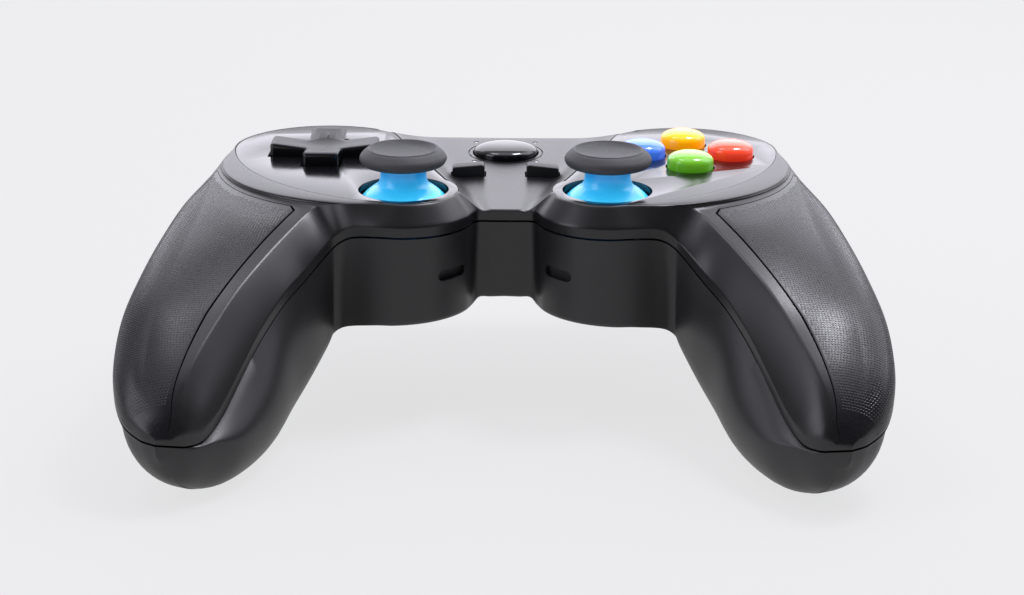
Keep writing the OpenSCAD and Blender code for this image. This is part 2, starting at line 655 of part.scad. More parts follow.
module stick_stem(s) {
    first = asin((neck_r + 1.1) / dome_r);
    place() on_side(s) translate([stick.x, stick.y, 0]) rotate_extrude() polygon(concat(
        [[0, neck_top], [neck_r, neck_top], [neck_r, neck_top - 2.4]],
        [[neck_r + 0.3, polar(dome_r, first).y + 0.9]],
        [for (k = [0:6]) polar(dome_r, mix(first, skirt_a, k / 6))],
        [for (k = [6:-1:0]) polar(dome_r - dome_t, mix(12, skirt_a, k / 6))],
        [[shaft_r, polar(dome_r - dome_t, 12).y - 0.6]],
        [[shaft_r, pivot_z - shaft_low], [0, pivot_z - shaft_low]]));
}
module left_stick_stem() {
    color("#1fa8f0") stick_stem(-1);
}
module right_stick_stem() {
    color("#1fa8f0") stick_stem(1);
}

module stick_gimbal(s) {
    place() on_side(s) translate([stick.x, stick.y, pivot_z]) difference() {
        union() {
            translate([0, 0, -1.9]) cylinder(r = 2.7, h = 3.8);
            rod_x(-5.2, 5.2, 0, 0, gimbal_pin_r);
        }
        translate([0, 0, -5]) cylinder(r = shaft_r + run_gap, h = 10);
    }
}
module left_stick_gimbal() {
    color("#d9dadc") stick_gimbal(-1);
}
module right_stick_gimbal() {
    color("#d9dadc") stick_gimbal(1);
}

module stick_yoke(s) {
    place() on_side(s) translate([stick.x, stick.y, pivot_z]) difference() {
        union() {
            box(-5.3, 5.3, -5.5, 5.5, -1.2, 1.2);
            translate([0, -box_half, 0]) rotate([-90, 0, 0]) cylinder(r = axle_r, h = 2 * box_half);
        }
        box(-3.8, 3.8, -3.9, 3.9, -3, 3);
        rod_x(-7, 7, 0, 0, gimbal_pin_r + run_gap);
    }
}
module left_stick_yoke() {
    color("#ececec") stick_yoke(-1);
}
module right_stick_yoke() {
    color("#ececec") stick_yoke(1);
}

module stick_housing(s) {
    inner = box_half - box_wall;
    place() on_side(s) translate([stick.x, stick.y, 0]) difference() {
        box(-box_half, box_half, -box_half, box_half, board_z, pivot_z + 2.4);
        box(-inner, inner, -inner, inner, board_z + box_wall, pivot_z + 5);
        translate([0, -20, pivot_z]) rotate([-90, 0, 0]) cylinder(r = axle_r + run_gap, h = 40);
    }
}
module left_stick_housing() {
    color("#9a9da1") stick_housing(-1);
}
module right_stick_housing() {
    color("#9a9da1") stick_housing(1);
}

module stick_sensors(s) {
    place() on_side(s) translate([stick.x, stick.y, 0]) {
        box(-4.2, 4.2, box_half, box_half + 2.6, board_z, pivot_z + 0.4);
        box(box_half, box_half + 2.6, -4.2, 4.2, board_z, pivot_z + 0.4);
    }
}
module left_stick_sensors() {
    color("#2f6f4f") stick_sensors(-1);
}
module right_stick_sensors() {
    color("#2f6f4f") stick_sensors(1);
}

// Cross pad: rocks on a ball held by a post
ball_r = 2.2;
ball_z = -2;
skirt_r = 13.6;
skirt_top = -3.6;
plunger_step = 9.4;
module cross_at() {
    translate([-cluster_x, cross_y, 0]) children();
}
module cross_arm_bar() {
    half = cross_span / 2;
    w = cross_arm / 2;
    tip = 1.2;
    rotate([90, 0, 0]) translate([0, 0, -w]) linear_extrude(cross_arm) polygon([
        [-half, skirt_top - 0.5], [half, skirt_top - 0.5], [half, cross_h - 0.8], [half - 0.3, cross_h - 0.2],
        [half - tip, cross_h], [half - 3.6, cross_h - 0.25], [w, cross_h - 0.9], [-w, cross_h - 0.9],
        [3.6 - half, cross_h - 0.25], [tip - half, cross_h], [0.3 - half, cross_h - 0.2], [-half, cross_h - 0.8]
    ]);
}
module cross_pad() {
    color("#26272a") place() cross_at() difference() {
        union() {
            cross_arm_bar();
            rotate([0, 0, 90]) cross_arm_bar();
            translate([0, 0, skirt_top - 1]) cylinder(r = skirt_r, h = 1);
            for (k = [0:3]) rotate([0, 0, 90 * k]) post([plunger_step, 0], 2.2, plunger_z, skirt_top - 0.5);
        }
        translate([0, 0, cross_h + 16.4]) sphere(r = 18, $fn = 60);
        translate([0, 0, ball_z]) sphere(r = ball_r + run_gap);
        translate([0, 0, skirt_top - 2]) cylinder(r = 4.4, h = ball_z + 0.7 - skirt_top + 2);
    }
}
module cross_ball() {
    color("#c9ccd0") place() cross_at() translate([0, 0, ball_z]) sphere(r = ball_r);
}
module cross_post() {
    color("#55585c") place() cross_at() difference() {
        post([0, 0], 2.6, board_z, ball_z - 0.7);
        translate([0, 0, ball_z]) sphere(r = ball_r + run_gap);
    }
}

module membrane_dome(p) {
    translate([p.x, p.y, board_z + membrane_t - 0.1]) cylinder(r1 = 3.4, r2 = 2.2, h = 1.5);
}
module cross_membrane() {
    color("#8f9296") place() cross_at() difference() {
        union() {
            post([0, 0], skirt_r, board_z, board_z + membrane_t);
            for (k = [0:3]) membrane_dome(plunger_step * dir(90 * k));
        }
        post([0, 0], 2.6 + fit_gap, board_z - 1, board_z + 5);
    }
}

// Face buttons, numbered left, top, right, bottom
function button_spot(k) = [cluster_x, buttons_y] + button_step * dir(180 - 90 * k);
flange_gap = 0.35;
module dome_key(p, r, z_side, z_top, z_flange, flange_r) {
    rise = z_top - z_side;
    translate([p.x, p.y, 0]) rotate_extrude() polygon(concat(
        [[0, plunger_z], [3, plunger_z], [3, z_flange - 1.2], [flange_r, z_flange - 1.2], [flange_r, z_flange],
            [r, z_flange]],
        [for (k = [0:7]) [r * cos(90 * k / 7), z_side + rise * sin(90 * k / 7)]]));
}
module face_button(k) {
    r = button_d / 2;
    place() dome_key(button_spot(k), r, button_h - 2.1, button_h, -plate_t - flange_gap, r + 1);
}
module face_button_left() {
    color("#1c6fd0") face_button(0);
}
module face_button_top() {
    color("#f0b400") face_button(1);
}
module face_button_right() {
    color("#d92b2b") face_button(2);
}
module face_button_bottom() {
    color("#2e9a3e") face_button(3);
}
module face_button_membrane() {
    color("#8f9296") place() {
        post([cluster_x, buttons_y], 14.4, board_z, board_z + membrane_t);
        for (k = [0:3]) membrane_dome(button_spot(k));
    }
}

// Centre keys
home_flange = panel_z(home_y) - roof_centre - 0.8;
key_flange = panel_z(key_y) - roof_centre - 0.8;
module home_button() {
    color("#0e0f10") place() dome_key([0, home_y], home_d / 2, panel_z(home_y) + 0.6, panel_z(home_y) + 2.5,
        home_flange, home_d / 2 + 1.1);
}
module centre_key(s, wedge) {
    z = panel_z(key_y) + key_h;
    z_right = s > 0 ? z - wedge : z;
    z_left = s < 0 ? z - wedge : z;
    half = key_l / 2;
    w = key_w / 2;
    place() translate([s * key_x, key_y, 0]) {
        translate([0, w, 0]) rotate([90, 0, 0]) linear_extrude(key_w) polygon([
            [-half, key_flange - 0.5], [half, key_flange - 0.5], [half, z_right], [half - 0.5, z_right + 0.3],
            [0.5 - half, z_left + 0.3], [-half, z_left]
        ]);
        box(-half - 0.9, half + 0.9, -w - 0.9, w + 0.9, key_flange - 1, key_flange);
        post([0, 0], 2, plunger_z, key_flange - 0.5);
    }
}
module select_key() {
    color("#202124") centre_key(-1, 0.6);
}
module start_key() {
    color("#202124") centre_key(1, 0.6);
}
module centre_membrane() {
    color("#8f9296") place() {
        box(-key_x - 4, key_x + 4, key_y - 4.5, key_y + 4.5, board_z, board_z + membrane_t);
        box(-7, 7, key_y, home_y + 4.5, board_z, board_z + membrane_t);
        membrane_dome([0, home_y]);
        membrane_dome([-key_x, key_y]);
        membrane_dome([key_x, key_y]);
    }
}

module bumper(s) {
    place() on_side(s) difference() {
        union() {
            translate([lobe.x, lobe.y, 0]) rotate([0, 0, bumper_from])
                rotate_extrude(angle = bumper_to - bumper_from)
                    polygon([
                        [bumper_in_r, bumper_low], [bumper_r - 0.5, bumper_low], [bumper_r, bumper_low + 0.5],
                        [bumper_r, bumper_top - 2.1], [bumper_r - 0.4, bumper_top - 1.4],
                        [bumper_r - 2.4, bumper_top], [bumper_in_r, bumper_top]
                    ]);
            post(bumper_pivot, hub_r, bumper_low + 0.2, bumper_top - 0.2);
        }
        post(bumper_pivot, bumper_pin_r + run_gap, -30, 5);
    }
}
module left_bumper() {
    color("#1a1b1d") bumper(-1);
}
module right_bumper() {
    color("#1a1b1d") bumper(1);
}

module bumper_switch(s) {
    place() on_side(s) translate([lobe.x, bracket_y + bracket_t, bumper_low + 1.2]) {
        box(7, 12, 0, 3.6, 0, 3.4);
        box(8.5, 10.5, 3.5, 4.4, 0.8, 2.6);
    }
}
module left_bumper_switch() {
    color("#6b6e72") bumper_switch(-1);
}
module right_bumper_switch() {
    color("#6b6e72") bumper_switch(1);
}

module trigger_bar(w, shift) {
    translate([trigger_x - w / 2 + shift, 0, 0]) rotate([90, 0, 90]) linear_extrude(w) children();
}
module trigger(s) {
    tip_y = lobe_y + bumper_r - 1.3;
    high = trigger_z + 1.1;
    low = trigger_z - 4.2;
    place() on_side(s) difference() {
        union() {
            trigger_bar(hub_w, hub_shift) {
                translate([trigger_y, trigger_z]) circle(r = hub_r);
                polygon([[trigger_y, trigger_z + hub_r], [tip_y - 3, high + 1], [tip_y - 3, low],
                    [trigger_y + 3, low], [trigger_y, trigger_z - hub_r]]);
            }
            trigger_bar(blade_w, 0) polygon([
                [tip_y - 5, high + 1], [tip_y, high + 1.2], [tip_y + 0.9, high + 0.7],
                [tip_y + 1.2, high - 0.2], [tip_y + 0.8, high - 2.2], [tip_y + 0.8, low + 1.8],
                [tip_y + 1.2, low + 0.2], [tip_y + 0.8, low - 0.8], [tip_y, low - 1.2], [tip_y - 5, low - 0.9]
            ]);
        }
        rod_x(trigger_x - 20, trigger_x + 20, trigger_y, trigger_z, trigger_pin_r + run_gap);
    }
}
module left_trigger() {
    color("#1a1b1d") trigger(-1);
}
module right_trigger() {
    color("#1a1b1d") trigger(1);
}
module trigger_pin(s) {
    half = ear_x + ear_t;
    place() on_side(s) rod_x(trigger_x - half, trigger_x + half, trigger_y, trigger_z, trigger_pin_r);
}
module left_trigger_pin() {
    color("#c4c7cb") trigger_pin(-1);
}
module right_trigger_pin() {
    color("#c4c7cb") trigger_pin(1);
}

spring_x = trigger_x + hub_shift - hub_w / 2 - 1.7;
module trigger_spring(s) {
    place() on_side(s) {
        translate([spring_x - 0.5, trigger_y, trigger_z]) rotate([0, 90, 0]) difference() {
            cylinder(r = trigger_pin_r + 0.9, h = 1.4);
            translate([0, 0, -1]) cylinder(r = trigger_pin_r + 0.15, h = 4);
        }
        box(spring_x - 0.5, spring_x + 0.2, bracket_y + bracket_t + 0.1, trigger_y,
            trigger_z - trigger_pin_r - 0.8, trigger_z - trigger_pin_r - 0.2);
        box(spring_x + 0.2, spring_x + 0.9, trigger_y, trigger_y + 3.2,
            trigger_z + trigger_pin_r + 0.2, trigger_z + trigger_pin_r + 0.8);
    }
}
module left_trigger_spring() {
    color("#c4c7cb") trigger_spring(-1);
}
module right_trigger_spring() {
    color("#c4c7cb") trigger_spring(1);
}

module trigger_switch(s) {
    place() on_side(s) translate([trigger_x, bracket_y + bracket_t, trigger_z - 7]) {
        box(-3, 3, 0, 2.6, 0, 3);
        box(-1, 1, 2.5, 5, 0.6, 2.2);
    }
}
module left_trigger_switch() {
    color("#6b6e72") trigger_switch(-1);
}
module right_trigger_switch() {
    color("#6b6e72") trigger_switch(1);
}

module shoulder_bracket(s) {
    x0 = bumper_pivot.x - 3.2;
    y1 = bracket_y + bracket_t;
    shelf = bumper_low - 0.3;
    place() on_side(s) difference() {
        union() {
            box(x0, lobe.x + 13, bracket_y, y1, trigger_z - 7.2, bumper_top - 1.6);
            box(lobe.x - 7, lobe.x + 5, bracket_y, y1, -body_depth + floor_t + 0.1, trigger_z - 7);
            for (e = [-1, 1]) translate([trigger_x + e * ear_x - (e < 0 ? ear_t : 0), 0, 0]) {
                rod_x(0, ear_t, trigger_y, trigger_z, hub_r);
                box(0, ear_t, y1 - 0.5, trigger_y, trigger_z - hub_r, trigger_z + hub_r);
            }
            box(x0, bumper_pivot.x + hub_r, y1 - 0.5, bumper_pivot.y, shelf - 1.3, shelf);
            post(bumper_pivot, hub_r, shelf - 1.3, shelf);
            post(bumper_pivot, bumper_pin_r, shelf - 1, bumper_top - 0.3);
        }
        rod_x(trigger_x - 20, trigger_x + 20, trigger_y, trigger_z, trigger_pin_r + 0.02);
    }
}
module left_shoulder_bracket() {
    color("#3a3c3f") shoulder_bracket(-1);
}
module right_shoulder_bracket() {
    color("#3a3c3f") shoulder_bracket(1);
}

module rumble_motor(s) {
    place() on_side(s) difference() {
        rod_x(motor_x0, motor_x0 + motor_l, motor_at.y, motor_at.z, motor_r);
        rod_x(motor_x0 + motor_l - 2.5, motor_x0 + motor_l + 1, motor_at.y, motor_at.z, 0.8 + run_gap);
    }
}
module left_rumble_motor() {
    color("#a9acb0") rumble_motor(-1);
}
module right_rumble_motor() {
    color("#a9acb0") rumble_motor(1);
}
module rumble_weight(s) {
    place() on_side(s) {
        rod_x(motor_x0 + motor_l - 2.2, weight_x0 + weight_t, motor_at.y, motor_at.z, 0.8);
        rod_x(weight_x0, weight_x0 + weight_t, motor_at.y, motor_at.z, 1.8);
        difference() {
            rod_x(weight_x0, weight_x0 + weight_t, motor_at.y, motor_at.z, weight_r);
            box(weight_x0 - 1, weight_x0 + weight_t + 1, motor_at.y - 20, motor_at.y + 20, motor_at.z,
                motor_at.z + 20);
        }
    }
}
module left_rumble_weight() {
    color("#8c7b52") rumble_weight(-1);
}
module right_rumble_weight() {
    color("#8c7b52") rumble_weight(1);
}

top_shell();
bottom_shell();
left_face_plate();
right_face_plate();
left_grip_panel();
right_grip_panel();
case_screws();
main_board();
battery();
charge_port();
status_lights();
left_stick_cap();
left_stick_stem();
left_stick_gimbal();
left_stick_yoke();
left_stick_housing();
left_stick_sensors();
right_stick_cap();
right_stick_stem();
right_stick_gimbal();
right_stick_yoke();
right_stick_housing();
right_stick_sensors();
cross_pad();
cross_ball();
cross_post();
cross_membrane();
face_button_left();
face_button_top();
face_button_right();
face_button_bottom();
face_button_membrane();
home_button();
select_key();
start_key();
centre_membrane();
left_bumper();
right_bumper();
left_bumper_switch();
right_bumper_switch();
left_trigger();
right_trigger();
left_trigger_pin();
right_trigger_pin();
left_trigger_spring();
right_trigger_spring();
left_trigger_switch();
right_trigger_switch();
left_shoulder_bracket();
right_shoulder_bracket();
left_rumble_motor();
right_rumble_motor();
left_rumble_weight();
right_rumble_weight();
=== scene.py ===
"""Looks of a two-handed gamepad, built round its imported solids.

Points are written in millimetres about the face: x to the right, y away from the player, z up, with
the origin between the sticks and on the level of the glossy plates. row_frame() turns them into the
solids' own frame.
"""

import math

import bmesh
import bpy
import numpy as np
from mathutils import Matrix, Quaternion, Vector


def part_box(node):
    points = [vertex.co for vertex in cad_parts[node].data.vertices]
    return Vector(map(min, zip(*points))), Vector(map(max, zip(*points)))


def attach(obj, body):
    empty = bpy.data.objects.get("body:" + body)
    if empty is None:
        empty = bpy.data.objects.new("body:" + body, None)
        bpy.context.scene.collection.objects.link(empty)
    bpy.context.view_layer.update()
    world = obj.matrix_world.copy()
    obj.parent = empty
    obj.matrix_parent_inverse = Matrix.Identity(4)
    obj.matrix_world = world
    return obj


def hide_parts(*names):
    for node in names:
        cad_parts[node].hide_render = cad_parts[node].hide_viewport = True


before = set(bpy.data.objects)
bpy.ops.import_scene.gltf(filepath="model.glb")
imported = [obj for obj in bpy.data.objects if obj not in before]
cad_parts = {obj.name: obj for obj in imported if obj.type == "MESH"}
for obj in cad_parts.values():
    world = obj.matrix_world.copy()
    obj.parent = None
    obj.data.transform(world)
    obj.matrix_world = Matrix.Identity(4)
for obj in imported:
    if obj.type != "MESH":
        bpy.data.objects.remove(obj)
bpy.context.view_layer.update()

bl_info = {
    "name": "Gamepad looks",
    "version": (1, 0, 0),
    "blender": (4, 5, 0),
    "location": "3D View > Sidebar > Gamepad",
    "description": "Builds the finished pieces of a gamepad round its packed solids",
    "category": "Object",
}

MM = 0.001
IMAGE_W = 1024
BODY = "housing"
LEFT, RIGHT = -1, 1
SIDE_NAMES = {LEFT: "left", RIGHT: "right"}


def srgb(hex_colour):
    """Linear red, green and blue of an sRGB hex value"""
    parts = [int(hex_colour[k:k + 2], 16) / 255 for k in (1, 3, 5)]
    return tuple(c / 12.92 if c <= 0.04045 else ((c + 0.055) / 1.055) ** 2.4 for c in parts)


def box_mm(node):
    """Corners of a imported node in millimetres"""
    return [np.array(corner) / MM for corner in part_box(node)]


# The face's level and the sticks' line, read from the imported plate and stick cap
CAP_BOX = box_mm("right_stick_cap")
PLATE_BOX = box_mm("right_face_plate")
FACE_ORIGIN = np.array([0, (CAP_BOX[0][1] + CAP_BOX[1][1]) / 2, PLATE_BOX[1][2]])


def row_frame(points):
    """Points about the face, in millimetres, as metres in the frame of the solids"""
    return (np.asarray(points, float) + FACE_ORIGIN) * MM


def face_box(node):
    """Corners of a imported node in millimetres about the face"""
    return [corner - FACE_ORIGIN for corner in box_mm(node)]


def face_centre(node):
    low, high = face_box(node)
    return (low + high) / 2


# Outline of the face: a back lobe, a stick ring and a long arc that touches both
STICK = np.array([face_centre("right_stick_cap")[0], 0.0])
LOBE = np.array([42.5, 36.0])
LOBE_R = 21.5
RING_R = 12.5
SWEEP_R = 54.0
RIM_W = 0.6
PLATE_T = 1.6
FIT_GAP = 0.1

# Housing
SEAM_DROP = 6.4
LIP_H = 2.2
RING_CHAMFER = 3.2
LOBE_CHAMFER = 2.8
BODY_DEPTH = 26.0
GRIP_DEPTH = FACE_ORIGIN[2]
WALL = 2.2
SEAM_GAP = 0.45
PANEL_T = 1.2
GROOVE_W = 0.36
STRIP_W = 2.6

# Keys
KEY_GAP = 0.35
FLANGE_GAP = 0.35


def mix(a, b, t):
    return a + (b - a) * t


def eased(t):
    return t * t * (3 - 2 * t)


def run_along(line):
    """Distance of each point of a line from its start"""
    return np.concatenate([[0], np.cumsum(np.linalg.norm(np.diff(line, axis=0), axis=1))])


def unit(v):
    return v / np.linalg.norm(v, axis=-1, keepdims=True)


def direction(degrees):
    a = np.radians(degrees)
    return np.stack([np.cos(a), np.sin(a)], -1)


def angle_of(v):
    return math.degrees(math.atan2(v[1], v[0]))


LOBE_GAP = np.linalg.norm(LOBE - STICK)
LOBE_DIR = (LOBE - STICK) / LOBE_GAP
LOBE_SIDE = np.array([-LOBE_DIR[1], LOBE_DIR[0]])
SWEEP_RUN = ((SWEEP_R - RING_R) ** 2 - (SWEEP_R - LOBE_R) ** 2 + LOBE_GAP ** 2) / (2 * LOBE_GAP)
SWEEP = STICK + LOBE_DIR * SWEEP_RUN + LOBE_SIDE * math.sqrt((SWEEP_R - RING_R) ** 2 - SWEEP_RUN ** 2)
OUTER_A = angle_of(LOBE - SWEEP)
FRONT_A = angle_of(STICK - SWEEP)
INNER_COS = (LOBE_R - RING_R) / LOBE_GAP
INNER_A = angle_of(LOBE_DIR * INNER_COS + LOBE_SIDE * math.sqrt(1 - INNER_COS ** 2))
SAGITTA = SWEEP_R * (1 - math.cos(math.radians(OUTER_A - FRONT_A) / 2))


def arc(centre, r, a0, a1, n):
    return centre + r * direction(np.linspace(a0, a1, n + 1))


def face_outline(inset):
    """Closed outline of the right half of the face, moved inwards"""
    return np.concatenate([
        arc(LOBE, LOBE_R - inset, INNER_A, OUTER_A, 64)[:-1],
        arc(SWEEP, SWEEP_R - inset, OUTER_A, FRONT_A, 40)[:-1],
        arc(STICK, RING_R - inset, FRONT_A, INNER_A - 360, 64),
    ])


# Stations of the housing, from the middle along the face to the grip's tip
BACK_Y = LOBE[1] + 18
BACK_Z = -1.8
FRONT_Y = -2.0
FRONT_Z = -4.0
ROOF_CENTRE = 1.6
GRIP_OUTER = [
    (24.7, 28, -6.5), (25.3, 24.5, -6.6), (25.9, 20.8, -6.9), (28.7, 6.5, -8.6), (31.4, -8, -11.8),
    (33.8, -22, -16.2), (35.7, -35, -21.8), (35.6, -46, -28.2), (33.1, -53.5, -32.8), (28.9, -58, -34.7),
    (25.2, -60.4, -35),
]
GRIP_CREASE = [
    (22.5, 28.5, -0.6), (22.9, 24.8, -1.1), (23.1, 20.6, -1.7), (23.3, 3, -3.3), (24.3, -10.5, -6),
    (26.1, -23.5, -9.8), (28, -36.5, -14.8), (28.5, -46.5, -20.8), (27.9, -53.5, -26), (25.5, -58, -30.2),
    (24.4, -60.3, -33.8),
]
GRIP_RIDGE = [
    (-9, -10.8, -0.4), (-5.4, -9.6, -0.9), (-1.2, -9.2, -2), (2.9, -16, -4.8), (7.4, -24.6, -8.2),
    (11.9, -33.5, -12.3), (15.7, -42, -17.2), (18.8, -49.5, -21.9), (20.7, -55, -26.3), (21.2, -58.6, -30),
    (22.2, -60.5, -33.8),
]
GRIP_INNER = [
    (-10.3, -13.4, -6.9), (-7.3, -13, -8.2), (-4.9, -14.4, -10.2), (-0.5, -20, -14.5),
    (3.5, -27.2, -17.8), (7.3, -34.8, -22.6), (10.5, -42.6, -28.2), (13.4, -50.2, -33.2),
    (16.1, -55.8, -35.6), (18.9, -58.9, -35.8), (21.8, -60.4, -35.2),
]
GRIP_BOW = (8.6, 7, 5.2, 3.5, 1.6, 0, 0, 0, 0, 0, 0)
GRIP_CROWN = (0, 0, 0, 0.5, 0.6, 0.6, 0.6, 0.5, 0.3, 0.2, 0.2)
GRIP_ROUND_OUT = (0, 0.2, 0.4, 1, 1, 1, 1, 1, 1, 1, 1)
GRIP_ROUND_IN = (0, 0, 0, 0.15, 0.2, 0.25, 0.3, 0.35, 0.5, 0.7, 0.8)
GRIP_ROOF = (4.5, 4.5, 4.5, 4.2, 3.5, 3, 3, 3, 3, 3, 3)
GRIP_FLOOR = (0, 0.5, 1, 2, 2.5, 2.5, 2.5, 2.5, 2.5, 2.5, 2.5)
GRIP_RISE = (21.6, 18.4, 14.4, 8.9, 4.4, 1.4, 0.08, 0.5, 2.8, 5.9, 10.9)
GRIP_BELLY = [
    (11, 14, 2, 2, 1, 1), (12, 16, 4, 4, 1, 1), (14, 18, 6, 6, 1, 0), (17, 22, 8, 9, 1.5, -2),
    (19, 24, 9, 11, 2, -3.3), (18, 24, 9, 12, 2.5, -5), (16, 22, 9, 12, 2.4, -5), (16, 19, 8, 11, 1.4, -3.7),
    (12.6, 13, 6, 10, 0.5, -1.2), (6.8, 8.2, 3.2, 6.4, 0.2, -0.2), (0.8, 2, 0.8, 2, 0, 0),
]


def centre_station(back_x, front_x, bulge, k):
    y = BACK_Y + bulge
    return [back_x, y, -SEAM_DROP, back_x, y - 0.6, BACK_Z,
            front_x, FRONT_Y + 0.3, FRONT_Z, front_x, FRONT_Y, -SEAM_DROP,
            0, 0, 0, 0, ROOF_CENTRE + 0.1 * k,
            -BODY_DEPTH + 1.7 - 0.1 * k, 6, 8, 1, 1, 2, 0.3, WALL]


def face_station(t):
    ao, ae, ai = mix(120, OUTER_A, t), mix(INNER_A, OUTER_A, t), mix(192, FRONT_A + 360, t)
    return [*(LOBE + (LOBE_R + LOBE_CHAMFER) * direction(ao)), -SEAM_DROP,
            *(LOBE + LOBE_R * direction(ae)), 0, *(STICK + RING_R * direction(ai)), 0,
            *(STICK + (RING_R + RING_CHAMFER) * direction(ai)), -SEAM_DROP,
            SAGITTA * t ** 1.5 - 0.5 * (1 - t), 0, 0, 0, PLATE_T + 1.8,
            -BODY_DEPTH - 0.6 * t, 7 + 3 * t, 10 + 2 * t, 1.2, 1.2, 2, 0.5, WALL]


def grip_station(k):
    guides = [table[k] for table in (GRIP_OUTER, GRIP_CREASE, GRIP_RIDGE, GRIP_INNER)]
    return [v for x, y, z in guides for v in (LOBE[0] + x, y, z)] + [
        GRIP_BOW[k], GRIP_CROWN[k], GRIP_ROUND_OUT[k], GRIP_ROUND_IN[k], GRIP_ROOF[k],
        GRIP_RISE[k] - GRIP_DEPTH, *GRIP_BELLY[k], WALL + GRIP_FLOOR[k]]


STATIONS = np.array(
    [centre_station(*row) for row in ((0, 0, 0, 0), (11, 3, 0.2, 1), (20, 5.4, 0.8, 2))]
    + [face_station(j / 6) for j in range(7)] + [grip_station(k) for k in range(11)], float)
LAST = len(STATIONS) - 1
PANEL_START = 12.0
STEP_RUN = 0.012
CAVITY_END = 14.7
(BOW, CROWN, ROUND_OUT, ROUND_IN, ROOF, BELLY_Z, RUN_OUT, RISE_OUT, RUN_IN, RISE_IN,
 LEAN_OUT, LEAN_IN, FLOOR) = range(12, 25)
OUTER_Z, CREASE_Z, RIDGE_Z, INNER_Z = 2, 5, 8, 11


def at(x):
    """Smooth curve through the stations"""
    x = np.asarray(x, float)
    k = np.minimum(np.floor(x).astype(int), LAST - 1)
    t = (x - k)[..., None]
    b, c = STATIONS[k], STATIONS[k + 1]
    slope_b = np.where((k == 0)[..., None], c - b, (c - STATIONS[np.maximum(k - 1, 0)]) / 2)
    slope_c = np.where((k + 1 == LAST)[..., None], c - b, (STATIONS[np.minimum(k + 2, LAST)] - b) / 2)
    return (b * (2 * t ** 3 - 3 * t ** 2 + 1) + slope_b * (t ** 3 - 2 * t ** 2 + t)
            + c * (3 * t ** 2 - 2 * t ** 3) + slope_c * (t ** 3 - t ** 2))


def outer_of(s):
    return s[..., 0:3]


def crease_of(s):
    return s[..., 3:6]


def ridge_of(s):
    return s[..., 6:9]


def inner_of(s):
    return s[..., 9:12]


def chord_of(s):
    return np.linalg.norm((inner_of(s) - outer_of(s))[..., :2], axis=-1)


def with_z(xy, z):
    return np.concatenate([xy, np.asarray(z)[..., None]], -1)


def bowed(a, b, bow, u):
    run = (b - a)[..., :2]
    side = unit(np.stack([-run[..., 1], run[..., 0]], -1))
    return a[..., :2] + run * u[..., None] + side * (bow * 4 * u * (1 - u))[..., None]


def along(s, d, z):
    """Point at a distance from the outer seam on the bowed line to the inner seam"""
    return with_z(bowed(outer_of(s), inner_of(s), s[..., BOW], d / chord_of(s)), z)


def plateau(s, u):
    u = np.broadcast_to(u, s.shape[:-1])
    z = mix(s[..., CREASE_Z], s[..., RIDGE_Z], u) + s[..., CROWN] * 4 * u * (1 - u)
    return with_z(bowed(crease_of(s), ridge_of(s), s[..., BOW], u), z)


def lip_of(edge, crease):
    out = edge.copy()
    out[..., 2] += np.minimum(LIP_H, 0.9 * (crease[..., 2] - edge[..., 2]))
    return out


def shoulder(low, high, r, t):
    """Slope from the lip up to the crease, straight or rounded"""
    f = mix(t, 1 - math.cos(math.pi / 2 * t), r)[..., None]
    g = mix(t, math.sin(math.pi / 2 * t), r)
    return with_z(mix(low, high, f)[..., :2], mix(low[..., 2], high[..., 2], g))


def rounded_corner(corner, before, after, r, v):
    """Point of a small curve that replaces a sharp corner"""
    to_a, to_b = before - corner, after - corner
    len_a = np.linalg.norm(to_a, axis=-1, keepdims=True) + 1e-9
    len_b = np.linalg.norm(to_b, axis=-1, keepdims=True) + 1e-9
    a = corner + to_a / len_a * np.minimum(r, 0.8 * len_a)
    b = corner + to_b / len_b * np.minimum(r, 0.8 * len_b)
    return (1 - v) ** 2 * a + 2 * v * (1 - v) * corner + v * v * b


def ridge_u(s, gap):
    return 1 - gap * np.minimum(0.18 / STRIP_W, 1 / np.linalg.norm(ridge_of(s) - crease_of(s), axis=-1))


CORNER_STEPS = (0.0, 0.25, 0.5, 0.75, 1.0)
SLOPE_STEPS = (0.2, 0.35, 0.5, 0.65, 0.8)
FLAT_STEPS = 20
LIP_ROUND = 0.35
CREASE_ROUND = 0.5
RIDGE_ROUND = 0.45
STEP_EDGE = 0.06

# Columns of the top's section from the outer seam over to the inner one: kind and place in it
TOP_COLUMNS = (
    [("outer", 0)] + [("lip_out", v) for v in CORNER_STEPS] + [("slope_out", t) for t in SLOPE_STEPS]
    + [("crease", v) for v in CORNER_STEPS] + [("flat", k / FLAT_STEPS) for k in range(1, FLAT_STEPS + 1)]
    + [("step", 0)] + [("ridge", v) for v in CORNER_STEPS] + [("slope_in", t) for t in reversed(SLOPE_STEPS)]
    + [("lip_in", v) for v in CORNER_STEPS] + [("inner", 0)])
PANEL_KINDS = ("outer", "lip_out", "slope_out", "crease", "flat")
PANEL_COLUMNS = [k for k, (kind, _) in enumerate(TOP_COLUMNS) if kind in PANEL_KINDS]


